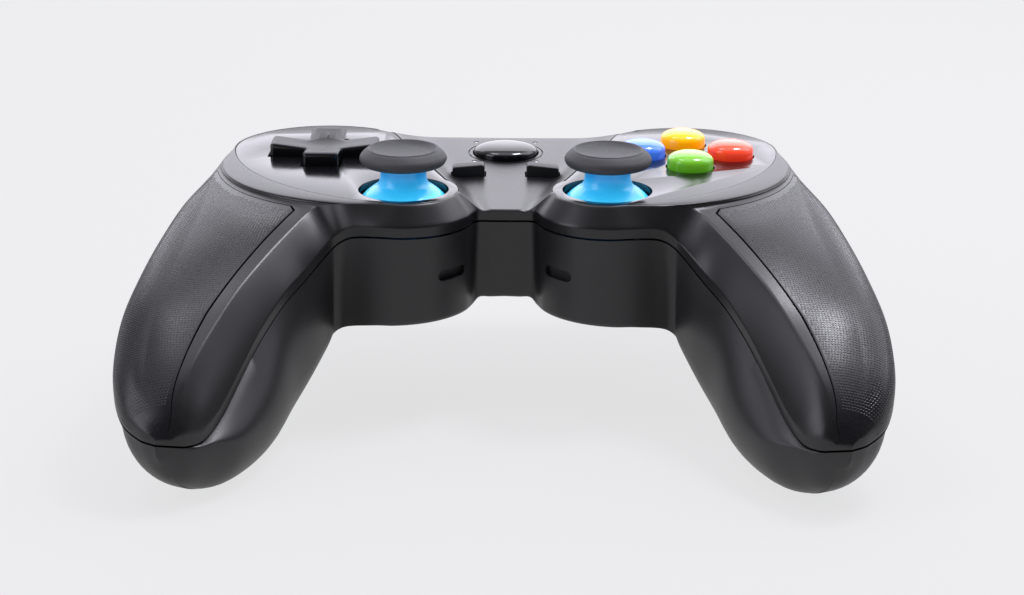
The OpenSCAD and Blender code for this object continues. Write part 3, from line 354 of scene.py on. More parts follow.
def top_point(s, kind, v, gap):
    """Point of the top's section, before the step for the grip panel"""
    outer, crease, ridge, inner = outer_of(s), crease_of(s), ridge_of(s), inner_of(s)
    lip_out, lip_in = lip_of(outer, crease), lip_of(inner, ridge)
    edge_u = ridge_u(s, gap)
    if kind == "outer":
        return outer
    if kind == "inner":
        return inner
    if kind == "lip_out":
        return rounded_corner(lip_out, outer, shoulder(lip_out, crease, s[..., ROUND_OUT], 0.2), LIP_ROUND, v)
    if kind == "lip_in":
        return rounded_corner(lip_in, shoulder(lip_in, ridge, s[..., ROUND_IN], 0.2), inner, LIP_ROUND, v)
    if kind == "slope_out":
        return shoulder(lip_out, crease, s[..., ROUND_OUT], v)
    if kind == "slope_in":
        return shoulder(lip_in, ridge, s[..., ROUND_IN], v)
    if kind == "crease":
        return rounded_corner(crease, shoulder(lip_out, crease, s[..., ROUND_OUT], 0.8),
                              plateau(s, edge_u / FLAT_STEPS), CREASE_ROUND, v)
    if kind == "ridge":
        return rounded_corner(ridge, plateau(s, edge_u), shoulder(lip_in, ridge, s[..., ROUND_IN], 0.8),
                              RIDGE_ROUND, v)
    if kind == "step":
        return plateau(s, edge_u)
    return plateau(s, ridge_u(s, gap + STEP_EDGE) * v)


def sink(s, kind, v, depth):
    """Move of a point of the section into the step for the grip panel, which fades out toward the tip"""
    t = v if kind == "slope_out" else 0.0 if kind in ("outer", "lip_out") else 1.0
    inwards = unit(np.concatenate([(inner_of(s) - outer_of(s))[..., :2], np.zeros(s.shape[:-1] + (1,))], -1))
    deep = depth * np.clip((chord_of(s) - 4) / 12, 0, 1)
    return deep[..., None] * unit(mix(inwards, np.array([0.0, 0.0, -1.0]), t))


PANEL_CORNER = 2.4
MM_PER_STATION = 11.0


def corner_shift(k):
    """How much later the panel starts at a column, in stations, so that its inner corner is round"""
    kind, v = TOP_COLUMNS[k]
    s = at(PANEL_START)
    length = np.linalg.norm(ridge_of(s) - crease_of(s))
    if kind in ("outer", "lip_out", "slope_out", "crease"):
        return 0.0
    inside = min(PANEL_CORNER, (1 - v) * length * 0.95) if kind == "flat" else 0.0
    late = PANEL_CORNER - math.sqrt(PANEL_CORNER ** 2 - (PANEL_CORNER - inside) ** 2)
    if kind == "slope_in":
        late *= v
    if kind in ("lip_in", "inner"):
        late = 0.0
    return late / MM_PER_STATION


def shifted_rows(rows, columns):
    """Stations of every point of a grid whose rows bend round the panel's corner"""
    near = np.clip(1 - np.abs(rows - PANEL_START), 0, 1)
    return rows[:, None] + eased(near)[:, None] * np.array([corner_shift(k) for k in columns])[None, :]


TIP_FROM, TIP_SOFT = 17.2, 2.2


def softened(line, reach):
    """Rounds a section's corners by a weighted mean along it, with its ends kept"""
    run = run_along(line)
    fine = np.linspace(0, run[-1], 300)
    dense = np.stack([np.interp(fine, run, line[:, c]) for c in range(3)], -1)
    out = line.copy()
    for j in range(1, len(line) - 1):
        spread = min(reach, 0.4 * min(run[j], run[-1] - run[j]))
        if spread > 0.02:
            weight = np.exp(-0.5 * ((fine - run[j]) / spread) ** 2)
            out[j] = weight @ dense / weight.sum()
    return out


def top_grid(rows, columns, gap, depth):
    """Points of the top's outside, softer toward the tip; rows after the panel's start are sunk by a depth"""
    every = range(len(TOP_COLUMNS))
    places = shifted_rows(rows, every)
    out = np.stack([top_point(at(places[:, k]), *TOP_COLUMNS[k], gap) for k in every], 1)
    for i in np.flatnonzero(rows > TIP_FROM):
        t = min(1.0, (rows[i] - TIP_FROM) / 1.6)
        out[i] = softened(out[i], TIP_SOFT * eased(t))
    sunk = (rows > PANEL_START + STEP_RUN / 2)[:, None]
    for k in PANEL_COLUMNS:
        out[:, k] += np.where(sunk, sink(at(places[:, k]), *TOP_COLUMNS[k], depth), 0)
    return out[:, list(columns)]


BELLY_SAG = 0.05
ROUND_STEPS = 14


def belly_curve(s, run, rise, lean, seam_z):
    """Distance from the seam and height along one wall of the bottom, down to the flat of the belly"""
    low = s[..., BELLY_Z] + BELLY_SAG
    out = []
    for t in np.linspace(0, 1, 7)[:-1]:
        out.append((lean * t * (2 - t), mix(seam_z, low + rise, t)))
    for a in np.linspace(0, math.pi / 2, ROUND_STEPS):
        out.append((lean + run * (1 - math.cos(a)), low + rise * (1 - math.sin(a))))
    return out


def bottom_grid(rows):
    s = at(rows)
    outer_wall = belly_curve(s, s[:, RUN_OUT], s[:, RISE_OUT], s[:, LEAN_OUT], s[:, OUTER_Z] - SEAM_GAP)
    inner_wall = belly_curve(s, s[:, RUN_IN], s[:, RISE_IN], s[:, LEAN_IN], s[:, INNER_Z] - SEAM_GAP)
    far, near = s[:, LEAN_OUT] + s[:, RUN_OUT], chord_of(s) - s[:, LEAN_IN] - s[:, RUN_IN]
    points = [along(s, d, z) for d, z in outer_wall]
    for u in np.linspace(0, 1, 9)[1:-1]:
        points.append(along(s, mix(far, near, u), s[:, BELLY_Z] + BELLY_SAG * (2 * u - 1) ** 2))
    points += [along(s, chord_of(s) - d, z) for d, z in reversed(inner_wall)]
    return np.stack(points, 1)


PAST_SEAM = 2.0
OFF_SEAM = 0.35
FOLD_AT = 10.5


def plan_gap(a, b):
    return np.linalg.norm((b - a)[..., :2], axis=-1)


def top_hollow(rows):
    s = at(rows)
    s[:, BOW] *= 0.4
    corner = np.maximum(0, 1 - 0.4 * np.abs(rows - FOLD_AT))
    wall_in = WALL + corner
    chord = chord_of(s)
    run_out = np.maximum(WALL + 0.3, 0.85 * plan_gap(outer_of(s), crease_of(s)))
    run_in = np.maximum(wall_in + 0.3, 1.15 * plan_gap(inner_of(s), ridge_of(s)) + 4 * corner)
    wall_out = np.full(len(rows), WALL)
    roof = np.stack([np.zeros(len(rows)), np.zeros(len(rows)), s[:, ROOF]], -1)
    return np.stack([
        along(s, wall_out, s[:, OUTER_Z] - PAST_SEAM), along(s, wall_out, s[:, OUTER_Z] + OFF_SEAM),
        along(s, run_out, s[:, CREASE_Z] - s[:, ROOF]), plateau(s, 1 / 3) - roof, plateau(s, 2 / 3) - roof,
        along(s, chord - run_in, s[:, RIDGE_Z] - s[:, ROOF]),
        along(s, chord - wall_in, s[:, INNER_Z] + OFF_SEAM),
        along(s, chord - wall_in, s[:, INNER_Z] - PAST_SEAM)], 1)


def bottom_hollow(rows):
    s = at(rows)
    chord = chord_of(s)

    def side(run, rise, lean, seam_z):
        lean = np.maximum(lean, 0)
        floor_z = s[:, BELLY_Z] + s[:, FLOOR]
        mid = np.maximum(lean + 0.3 * run + 0.7 * WALL, lean + WALL + 0.1)
        mid_z = np.maximum(s[:, BELLY_Z] + 0.3 * rise + 0.7 * WALL, floor_z + 0.3)
        wall = np.full(len(rows), WALL)
        return [(wall, seam_z + PAST_SEAM), (wall, seam_z - OFF_SEAM),
                (lean + WALL, np.maximum(s[:, BELLY_Z] + rise, mid_z + 0.4)), (mid, mid_z),
                (np.maximum(lean + run, mid + 0.3), floor_z)]

    outer_side = side(s[:, RUN_OUT], s[:, RISE_OUT], s[:, LEAN_OUT], s[:, OUTER_Z] - SEAM_GAP)
    inner_side = side(s[:, RUN_IN], s[:, RISE_IN], s[:, LEAN_IN], s[:, INNER_Z] - SEAM_GAP)
    far, near = outer_side[-1][0], chord - inner_side[-1][0]
    floor_z = s[:, BELLY_Z] + s[:, FLOOR] - 0.15
    points = [along(s, d, z) for d, z in outer_side]
    points += [along(s, mix(far, near, u), floor_z) for u in (1 / 3, 2 / 3)]
    points += [along(s, chord - d, z) for d, z in reversed(inner_side)]
    return np.stack(points, 1)


def both_sides(half):
    """The half from the middle to the right tip, with its mirror image before it"""
    return np.concatenate([half[:0:-1] * (-1, 1, 1), half])


def panel_z(y):
    """Height of the centre panel's surface"""
    return mix(FRONT_Z, BACK_Z, (y - FRONT_Y - 0.3) / (BACK_Y - FRONT_Y - 0.9))


# Meshes

def link(name, mesh):
    obj = bpy.data.objects.new(name, mesh)
    bpy.context.scene.collection.objects.link(obj)
    return obj


def outward(mesh, weld=1e-7):
    """Merges doubles and turns the faces of a closed mesh outwards"""
    bm = bmesh.new()
    bm.from_mesh(mesh)
    bmesh.ops.remove_doubles(bm, verts=bm.verts, dist=weld)
    bmesh.ops.recalc_face_normals(bm, faces=bm.faces)
    bm.to_mesh(mesh)
    bm.free()


def solid(name, points, faces):
    """Closed piece from points about the face, in millimetres"""
    mesh = bpy.data.meshes.new(name)
    mesh.from_pydata(row_frame(points).tolist(), [], [[int(k) for k in f] for f in faces])
    outward(mesh)
    return link(name, mesh)


def quads(n, k, closed=False):
    """Faces between n rings of k points each"""
    return [(i * k + j, i * k + (j + 1) % k, (i + 1) % n * k + (j + 1) % k, (i + 1) % n * k + j)
            for i in range(n if closed else n - 1) for j in range(k)]


def rings(name, sections, closed=False):
    """Closed piece through a row of closed sections, with flat ends or back round to the first one"""
    sections = np.asarray(sections, float)
    n, k = sections.shape[:2]
    faces = quads(n, k, closed)
    if not closed:
        faces += [list(range(k)), list(range((n - 1) * k, n * k))]
    return solid(name, sections.reshape(-1, 3), faces)


def prism(name, outline, z0, z1):
    outline = np.asarray(outline, float)
    return rings(name, [with_z(outline, np.full(len(outline), z)) for z in (z0, z1)])


def box(name, low, high):
    (x0, y0, z0), (x1, y1, z1) = low, high
    return prism(name, [(x0, y0), (x1, y0), (x1, y1), (x0, y1)], z0, z1)


def soften(profile, steps=5):
    """Profile whose corners, given as (r, z, rounding), become small curves"""
    points = np.array([p[:2] for p in profile], float)
    out = []
    for k, p in enumerate(profile):
        r = p[2] if len(p) > 2 else 0
        if r <= 0 or k in (0, len(profile) - 1):
            out.append(points[k])
            continue
        out += [rounded_corner(points[k], points[k - 1], points[k + 1], r, v)
                for v in np.linspace(0, 1, steps)]
    return np.array(out)


def revolve(name, profile, centre, segments=96):
    """Closed round piece from a profile that starts and ends on its axis"""
    profile = np.asarray(profile, float)[:, :2]
    inner = [p for p in profile if p[0] > 1e-6]
    turn = direction(np.arange(segments) * 360 / segments)
    points = [with_z(np.asarray(centre) + p[0] * turn, np.full(segments, p[1])) for p in inner]
    n = len(inner)
    ends = [[*centre, profile[0][1]], [*centre, profile[-1][1]]]
    faces = quads(n, segments)
    for end, ring in ((n * segments, 0), (n * segments + 1, n - 1)):
        faces += [(end, ring * segments + j, ring * segments + (j + 1) % segments) for j in range(segments)]
    return solid(name, np.concatenate([np.concatenate(points), ends]), faces)


def cylinder(name, centre, r, z0, z1, segments=64):
    return revolve(name, [(0, z0), (r, z0), (r, z1), (0, z1)], centre, segments)


def freeze(obj):
    """Makes the result of the modifiers the piece's own mesh"""
    bpy.context.view_layer.update()
    evaluated = obj.evaluated_get(bpy.context.evaluated_depsgraph_get())
    mesh = bpy.data.meshes.new_from_object(evaluated)
    obj.modifiers.clear()
    obj.data = mesh
    return obj


def discard(*objects):
    for obj in objects:
        bpy.data.objects.remove(obj)


def combine(obj, tools, operation):
    """Cuts the tools out of a piece or fuses them to it"""
    for tool in tools:
        modifier = obj.modifiers.new("combine", "BOOLEAN")
        modifier.operation = operation
        modifier.solver = "EXACT"
        modifier.object = tool
        tool.hide_render = True
    freeze(obj)
    discard(*tools)
    return obj


def cut(obj, *tools):
    return combine(obj, tools, "DIFFERENCE")


def joined(obj, *others):
    """Adds the meshes of other objects to a piece"""
    bm = bmesh.new()
    for part in (obj, *others):
        bm.from_mesh(part.data)
    bm.to_mesh(obj.data)
    bm.free()
    discard(*others)
    return obj


def mirrored(obj, name):
    """Copy of a piece on the other side of the middle"""
    mesh = obj.data.copy()
    mesh.transform(((-1, 0, 0, 0), (0, 1, 0, 0), (0, 0, 1, 0), (0, 0, 0, 1)))
    mesh.flip_normals()
    return link(name, mesh)


def bevel(obj, width_mm, segments=3, angle=40):
    modifier = obj.modifiers.new("edge", "BEVEL")
    modifier.width = width_mm * MM
    modifier.segments = segments
    modifier.limit_method = "ANGLE"
    modifier.angle_limit = math.radians(angle)
    modifier.harden_normals = False
    return freeze(obj)


def piece(obj, body, materials, nodes=(), smooth=32):
    """Finishes a piece: materials, shading, the body it rides on and the nodes that it stands for"""
    obj.data.materials.clear()
    for material in materials if isinstance(materials, (list, tuple)) else [materials]:
        obj.data.materials.append(material)
    obj.data.shade_smooth()
    obj.data.set_sharp_from_angle(angle=math.radians(smooth))
    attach(obj, body)
    if nodes:
        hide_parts(*nodes)
    return obj


# Materials

def add(tree, kind, links=(), inputs=(), **settings):
    """Adds a node with its settings, input values and links"""
    node = tree.nodes.new(kind)
    for name, value in settings.items():
        setattr(node, name, value)
    for name, value in inputs:
        node.inputs[name].default_value = value
    for name, source in links:
        tree.links.new(source, node.inputs[name])
    return node


def new_material(name):
    """Material with an empty principled shader, its tree, and object coordinates in millimetres"""
    material = bpy.data.materials.get(name)
    if material:
        return material, None, None, None
    material = bpy.data.materials.new(name)
    material.use_nodes = True
    tree = material.node_tree
    shader = tree.nodes["Principled BSDF"]
    place = add(tree, "ShaderNodeTexCoord").outputs["Object"]
    in_mm = add(tree, "ShaderNodeMapping", [("Vector", place)], [("Scale", (1 / MM,) * 3)]).outputs["Vector"]
    return material, tree, shader, in_mm


def set_inputs(shader, **values):
    for name, value in values.items():
        shader.inputs[name.replace("_", " ")].default_value = value


def noise(tree, in_mm, size_mm, detail):
    """Noise of a given size, from 0 to 1"""
    node = add(tree, "ShaderNodeTexNoise", [("Vector", in_mm)],
               [("Scale", 1 / size_mm), ("Detail", detail)])
    return node.outputs["Fac"]


def mapped(tree, value, low, high, to_low=0.0, to_high=1.0):
    """Value carried from one range to another"""
    node = add(tree, "ShaderNodeMapRange", [("Value", value)], [
        ("From Min", low), ("From Max", high), ("To Min", to_low), ("To Max", to_high)])
    return node.outputs["Result"]


def raise_by(tree, shader, height, strength, depth_mm):
    """Bump of a given depth"""
    bump = add(tree, "ShaderNodeBump", [("Height", height)],
               [("Strength", strength), ("Distance", depth_mm * MM)])
    tree.links.new(bump.outputs["Normal"], shader.inputs["Normal"])


def grain(tree, shader, in_mm, size_mm, depth_mm, strength, rough, rough_spread):
    """Moulded grain: a fine bump whose high spots are a little shinier"""
    points = noise(tree, in_mm, size_mm, 3.0)
    raise_by(tree, shader, points, strength, depth_mm)
    spread = mapped(tree, points, 0.3, 0.7, rough + rough_spread, rough - rough_spread)
    tree.links.new(spread, shader.inputs["Roughness"])


def handled(tree, shader, in_mm, size_mm, detail, rough, smear):
    """Faint haze of handling on a polished surface"""
    spread = mapped(tree, noise(tree, in_mm, size_mm, detail), 0.35, 0.65, rough, rough + smear)
    tree.links.new(spread, shader.inputs["Roughness"])


def blend(tree, share, low, high):
    """Colour between two colours"""
    ramp = add(tree, "ShaderNodeMix", [("Factor", share)], data_type="RGBA")
    for socket in ramp.inputs:
        if socket.type == "RGBA":
            socket.default_value = (*(low if socket.name == "A" else high), 1)
    return next(socket for socket in ramp.outputs if socket.type == "RGBA")


def tint(tree, shader, in_mm, colour, size_mm, amount):
    """Slow drift of the colour, as a big moulding shows"""
    drift = noise(tree, in_mm, size_mm, 2.0)
    dark = tuple(c * (1 - amount) for c in colour)
    light = tuple(min(1.0, c * (1 + amount)) for c in colour)
    tree.links.new(blend(tree, drift, dark, light), shader.inputs["Base Color"])


def moulded(name, colour, size_mm, depth_mm, rough, spread=0.06, strength=0.5, ior=1.53, amount=0.12):
    """Moulded plastic or rubber with a grain and a slow drift of its colour"""
    material, tree, shader, in_mm = new_material(name)
    if tree is None:
        return material
    set_inputs(shader, IOR=ior)
    grain(tree, shader, in_mm, size_mm, depth_mm, strength, rough, spread)
    tint(tree, shader, in_mm, colour, 18.0, amount)
    return material


def satin_black_abs():
    """ABS moulded in a spark-eroded tool: a soft sheen that breaks up into fine points"""
    return moulded("satin_black_abs_spark_textured", look("shell"), 0.24, 0.03, 0.33, 0.05, 0.25, 1.5)


def matt_black_abs():
    """ABS moulded in a coarser spark-eroded tool: a wide dull sheen"""
    return moulded("matt_black_abs_spark_textured", look("lower"), 0.26, 0.03, 0.42, 0.06, 0.3)


def grip_abs():
    """ABS moulded with rows of tiny raised squares: a broken sheen that follows the hand"""
    return moulded("dark_grey_abs_moulded_grid", look("panel"), 0.5, 0.03, 0.31, 0.05, 0.3, 1.46)


def cap_rubber():
    """Thermoplastic rubber with a spark texture: nearly no shine, pale specks"""
    return moulded("dark_grey_rubber_matt", look("cap"), 0.28, 0.08, 0.62, 0.1, 0.7, 1.5)


def key_abs():
    """Plain moulded ABS of small keys: dull black, soft edges"""
    return moulded("black_abs_moulded_matt", look("key"), 0.3, 0.03, 0.5, 0.05, 0.35)


def shoulder_abs():
    """Moulded ABS with a half gloss, as on keys that fingers polish"""
    return moulded("black_abs_half_gloss", look("shoulder"), 0.8, 0.02, 0.22, 0.05, 0.2)


def silicone():
    """Silicone rubber sheet with conductive pills: soft and dusty"""
    return moulded("grey_silicone_rubber_pressed", srgb("#8f9296"), 0.6, 0.03, 0.62, 0.06, 0.3, 1.41)


def acetal():
    """White acetal of small moving parts: waxy and smooth"""
    return moulded("white_acetal_moulded", srgb("#dfe0e2"), 1.2, 0.01, 0.38, 0.05, 0.2, 1.48)


def bracket_abs():
    """Dark grey ABS of hidden brackets, with tool marks"""
    return moulded("dark_grey_abs_moulded", srgb("#3a3c3f"), 0.7, 0.03, 0.5, 0.06, 0.4)


def switch_nylon():
    """Glass-filled nylon of small switches: dull, a little mottled"""
    return moulded("grey_nylon_moulded", srgb("#6b6e72"), 0.5, 0.03, 0.55, 0.06, 0.4, amount=0.2)


def polished(name, colour, rough, ior=1.5, smear=0.03):
    """Polished plastic: a mirror with a faint haze of handling"""
    material, tree, shader, in_mm = new_material(name)
    if tree is None:
        return material
    set_inputs(shader, IOR=ior)
    handled(tree, shader, in_mm, 6.0, 4.0, rough, smear)
    tint(tree, shader, in_mm, colour, 25.0, 0.06)
    return material


def piano_black():
    """ABS moulded in a mirror-polished tool: near black, sharp reflections"""
    return polished("piano_black_abs_polished", look("plate"), 0.15, 1.52)


def pad_side():
    """Polished black ABS of the cross pad's sides"""
    return polished("black_abs_polished", look("pad"), 0.09)


def pad_top():
    """The cross pad's top: fine satin over the same black ABS"""
    return moulded("black_abs_satin_top", look("pad_top"), 0.25, 0.02, 0.4, 0.05, 0.25, 1.33)


def tinted(name, colour, foot_glow, rough=0.08, glow=0.72):
    """Tinted clear plastic: a clear gloss over a colour that blends from the foot colour below the face to
    the given colour above it, with a painted glow in the same colour that stands in for light scattered
    inside the plastic
    """
    material, tree, shader, in_mm = new_material(name)
    if tree is None:
        return material
    set_inputs(shader, IOR=1.49, Coat_Weight=0.2, Coat_Roughness=0.08, Subsurface_Weight=0.25,
               Subsurface_Radius=(1.0, 0.6, 0.4), Subsurface_Scale=2.0 * MM)
    height = add(tree, "ShaderNodeSeparateXYZ", [("Vector", in_mm)]).outputs["Z"]
    face_z = FACE_ORIGIN[2]
    # Base colour and painted glow colour, from the foot colour to the given colour as the height rises
    shade = blend(tree, mapped(tree, height, face_z - 1.0, face_z + 4.0), foot_glow, colour)
    tree.links.new(shade, shader.inputs["Base Color"])
    tree.links.new(shade, shader.inputs["Emission Color"])
    # Painted glow: the emission grows from nothing 3 mm below the face to its full strength just under the
    # face, so only the visible part glows
    inside = mapped(tree, height, face_z - 3.0, face_z - 0.6, 0.0, glow)
    tree.links.new(inside, shader.inputs["Emission Strength"])
    handled(tree, shader, in_mm, 3.0, 3.0, rough, 0.03)
    return material


def metal(name, colour, rough, size_mm, stretch=(1, 1, 1), strength=0.15):
    """Plated or drawn metal with fine marks along its working direction"""
    material, tree, shader, in_mm = new_material(name)
    if tree is None:
        return material
    set_inputs(shader, Metallic=1.0)
    drawn = add(tree, "ShaderNodeMapping", [("Vector", in_mm)], [("Scale", stretch)])
    grain(tree, shader, drawn.outputs["Vector"], size_mm, 0.02, strength, rough, 0.08)
    tint(tree, shader, in_mm, colour, 4.0, 0.1)
    return material


def plated_steel():
    """Zinc-plated steel of screws, springs and pins: pale, finely drawn"""
    return metal("zinc_plated_steel_drawn", srgb("#c9ccd0"), 0.3, 0.5, (1, 1, 0.15))


def pressed_steel():
    """Pressed steel sheet of stick modules and motor cans: rolled, with a dull shine"""
    return metal("pressed_steel_rolled", srgb("#aeb1b5"), 0.36, 0.4, (0.1, 1, 1))


def ball_steel():
    """Ground and polished steel of the pivot ball"""
    return metal("steel_polished", srgb("#d5d8dc"), 0.12, 0.8)


def brass():
    """Sintered brass of the rumble weights: warm and slightly porous"""
    return metal("sintered_brass", srgb("#a8915c"), 0.4, 0.35, strength=0.4)


def solder_mask():
    """Green solder mask over copper: gloss with raised tracks"""
    material, tree, shader, in_mm = new_material("green_solder_mask_over_copper")
    if tree is None:
        return material
    set_inputs(shader, IOR=1.5, Roughness=0.25)
    cells = add(tree, "ShaderNodeTexVoronoi", [("Vector", in_mm)], [("Scale", 1 / 3.0)],
                feature="DISTANCE_TO_EDGE", distance="EUCLIDEAN")
    track = mapped(tree, cells.outputs["Distance"], 0.04, 0.08, 1.0, 0.0)
    tree.links.new(blend(tree, track, srgb("#14472c"), srgb("#2c7a50")), shader.inputs["Base Color"])
    raise_by(tree, shader, track, 0.5, 0.05)
    return material


def shrink_wrap():
    """Blue shrink wrap of the battery: thin film with small wrinkles"""
    return moulded("blue_pvc_shrink_wrap", srgb("#3f66a0"), 2.5, 0.2, 0.25, 0.08, 0.5)


def light_guide():
    """Clear grey plastic of the small status lights, with a faint painted white glow that makes them read
    pale in their recesses
    """
    material = polished("clear_grey_polycarbonate", srgb("#c9ccd0"), 0.12)
    shader = material.node_tree.nodes["Principled BSDF"]
    # Painted glow: a white emission brightens the recessed lights
    set_inputs(shader, Emission_Color=(1, 1, 1, 1), Emission_Strength=0.55)
    return material


# Settings that a user would change

def size(name, description, default_mm):
    return bpy.props.FloatProperty(name=name, description=description, default=default_mm * MM, unit="LENGTH",
                                   precision=5, min=0.0)


def colour(name, description, hex_colour):
    return bpy.props.FloatVectorProperty(name=name, description=description, default=srgb(hex_colour), size=3,
                                         subtype="COLOR", min=0.0, max=1.0)


class GamepadSizes(bpy.types.PropertyGroup):
    """Sizes of the finish that the solids don't hold"""

    grid_pitch: size("Grid pitch", "Distance between the raised squares of the grip panels", 0.62)
    grid_square: size("Grid square", "Width of a raised square at its foot", 0.42)
    grid_height: size("Grid height", "Height of a raised square", 0.045)
    edge_round: size("Edge rounding", "Rounding of the glossy plates' edges", 0.2)


class GamepadColours(bpy.types.PropertyGroup):
    """Colours of the visible pieces"""

    shell: colour("Top shell", "Satin top shell", "#111113")
    lower: colour("Bottom shell", "Matt bottom shell", "#151517")
    panel: colour("Grip panels", "Textured grip panels", "#111114")
    plate: colour("Face plates", "Glossy face plates", "#0c0c0e")
    cap: colour("Stick caps", "Rubber stick caps", "#3a3a3d")
    stem: colour("Stick stems", "Blue stick stems", "#1b7dba")
    # Colour of a stem's dome below the face, which is also the colour of its painted glow
    stem_dome_glow: colour("Stick stem core", "Brighter blue of a stem's dome", "#38c6fb")
    pad: colour("Cross pad", "Sides of the cross pad", "#101012")
    pad_top: colour("Cross pad top", "Top of the cross pad", "#121214")
    key: colour("Centre keys", "Select and start keys", "#121213")
    home: colour("Home button", "Home button", "#0b0b0d")
    shoulder: colour("Shoulder keys", "Bumpers and triggers", "#121214")
    # The face buttons' colours are also the colours of their painted glow at the top
    button_left: colour("Left button", "Face button on the left", "#4a7ff0")
    button_top: colour("Top button", "Face button at the top", "#ffb908")
    button_right: colour("Right button", "Face button on the right", "#ff5233")
    button_bottom: colour("Bottom button", "Face button at the bottom", "#72b52c")
    ground: colour("Floor", "Pale studio floor", "#e8e8e9")
    light: colour("Light", "Slightly cool light of the softboxes", "#f3f2fc")


def sizes():
    return bpy.context.scene.gamepad_sizes


def look(name):
    return tuple(getattr(bpy.context.scene.gamepad_colours, name))


# Housing

BUMPER_TOP = -3.5
BUMPER_H = 6.1
BUMPER_LOW = BUMPER_TOP - BUMPER_H
BUMPER_R = LOBE_R + LOBE_CHAMFER + 1.4
BUMPER_IN_R = LOBE_R - 1.2
BUMPER_FROM, BUMPER_TO = 55, 124
BUMPER_PIVOT = LOBE + (LOBE_R + 1) * direction(128)
HUB_R = 2.4
TRIGGER_X = LOBE[0] + 0.5
TRIGGER_Y = LOBE[1] + 15.4
TRIGGER_Z = BUMPER_LOW - 0.9 - HUB_R
BLADE_W = 23.4
BOARD_Z = -14.5
BACK_POST = np.array([14.0, LOBE[1] + 8.5])
GRIP_POST = np.array([LOBE[0] + 23.5, -38.0])
SCREW_R = 1.15
SCREW_HEAD_R = 2.5
BACK_HEAD_Z = -BODY_DEPTH + 4
GRIP_HEAD_Z = 10.5 - GRIP_DEPTH
HOME_Y = 41.0
HOME_R = 7.5
KEY_X, KEY_Y, KEY_L, KEY_W, KEY_H = 8.5, 23.7, 7.4, 3.4, 2.3
SLOT_L, SLOT_H, SLOT_Z, SLOT_A = 7.7, 2.5, -15.8, 224
PORT_W, PORT_H = 8.4, 2.8
STICK_HOLE_R = 9.8
BORE_R, SINK_R = SCREW_R + 0.05, SCREW_HEAD_R + 0.3


def sector(name, r0, r1, a0, a1, z0, z1, steps=48):
    outline = np.concatenate([arc(LOBE, r1, a0, a1, steps), arc(LOBE, r0, a1, a0, steps)])
    return prism(name, outline, z0, z1)


def shoulder_tools():
    """Cutters for the right bumper's slot and the right trigger's notch"""
    half = BLADE_W / 2 + 0.4
    return [
        sector("slot", BUMPER_IN_R - 0.8, BUMPER_IN_R + 13.2, BUMPER_FROM - 4, 137,
               BUMPER_LOW - 0.5, BUMPER_TOP + 0.3),
        cylinder("hub", BUMPER_PIVOT, HUB_R + 0.9, BUMPER_LOW - 2.2, BUMPER_TOP + 0.29),
        box("notch", (TRIGGER_X - half, TRIGGER_Y - 3.4, TRIGGER_Z - 9),
            (TRIGGER_X + half, LOBE[1] + 40, BUMPER_LOW)),
    ]


def on_both_sides(tools):
    return tools + [mirrored(tool, tool.name + "_left") for tool in tools]


def clip_tool():
    """Cutter for the right clip recess, an oblong with round ends"""
    across = direction(SLOT_A + 90)
    out = direction(SLOT_A)
    depth = RING_R + RING_CHAMFER - 0.5 - (WALL - 0.9)
    reach = (SLOT_L - SLOT_H) / 2
    ends = [(reach + SLOT_H / 2 * math.cos(a), SLOT_H / 2 * math.sin(a))
            for a in np.linspace(-1.5708, 1.5708, 16)]
    loop = ends + [(-x, -y) for x, y in ends]
    sections = [[[*(STICK + out * d + across * x), SLOT_Z + y] for x, y in loop] for d in (depth, depth + 6)]
    return rings("recess", sections)


def oblong(name, centre, length, width, z0, z1):
    x, y = centre
    return box(name, (x - length / 2, y - width / 2, z0), (x + length / 2, y + width / 2, z1))


RING_GROOVE_R, RING_GROOVE_W, RING_GROOVE_DEEP = 8.75, 0.3, 0.35
LIGHTS = [(x, y) for y, reach in ((LOBE[1] + 13.4, 7.1), (LOBE[1] - 2.1, 7.3)) for x in (-reach, reach)]
LIGHT_R = 0.55


def ring_tool():
    """Cutter for the thin groove round the home button, level with the sloping panel"""
    near, far = RING_GROOVE_R - RING_GROOVE_W / 2, RING_GROOVE_R + RING_GROOVE_W / 2
    profile = [(near, -RING_GROOVE_DEEP), (far, -RING_GROOVE_DEEP), (far, 1), (near, 1)]
    sections = []
    for a in np.arange(96) * 3.75:
        x, y = direction(a)
        sections.append([[x * r, HOME_Y + y * r, panel_z(HOME_Y + y * r) + z] for r, z in profile])
    return rings("ring", sections, closed=True)


def hollow_rows():
    return np.concatenate([[0, 1.2, 2.2], np.arange(2.7, CAVITY_END + 0.1, 0.25)])


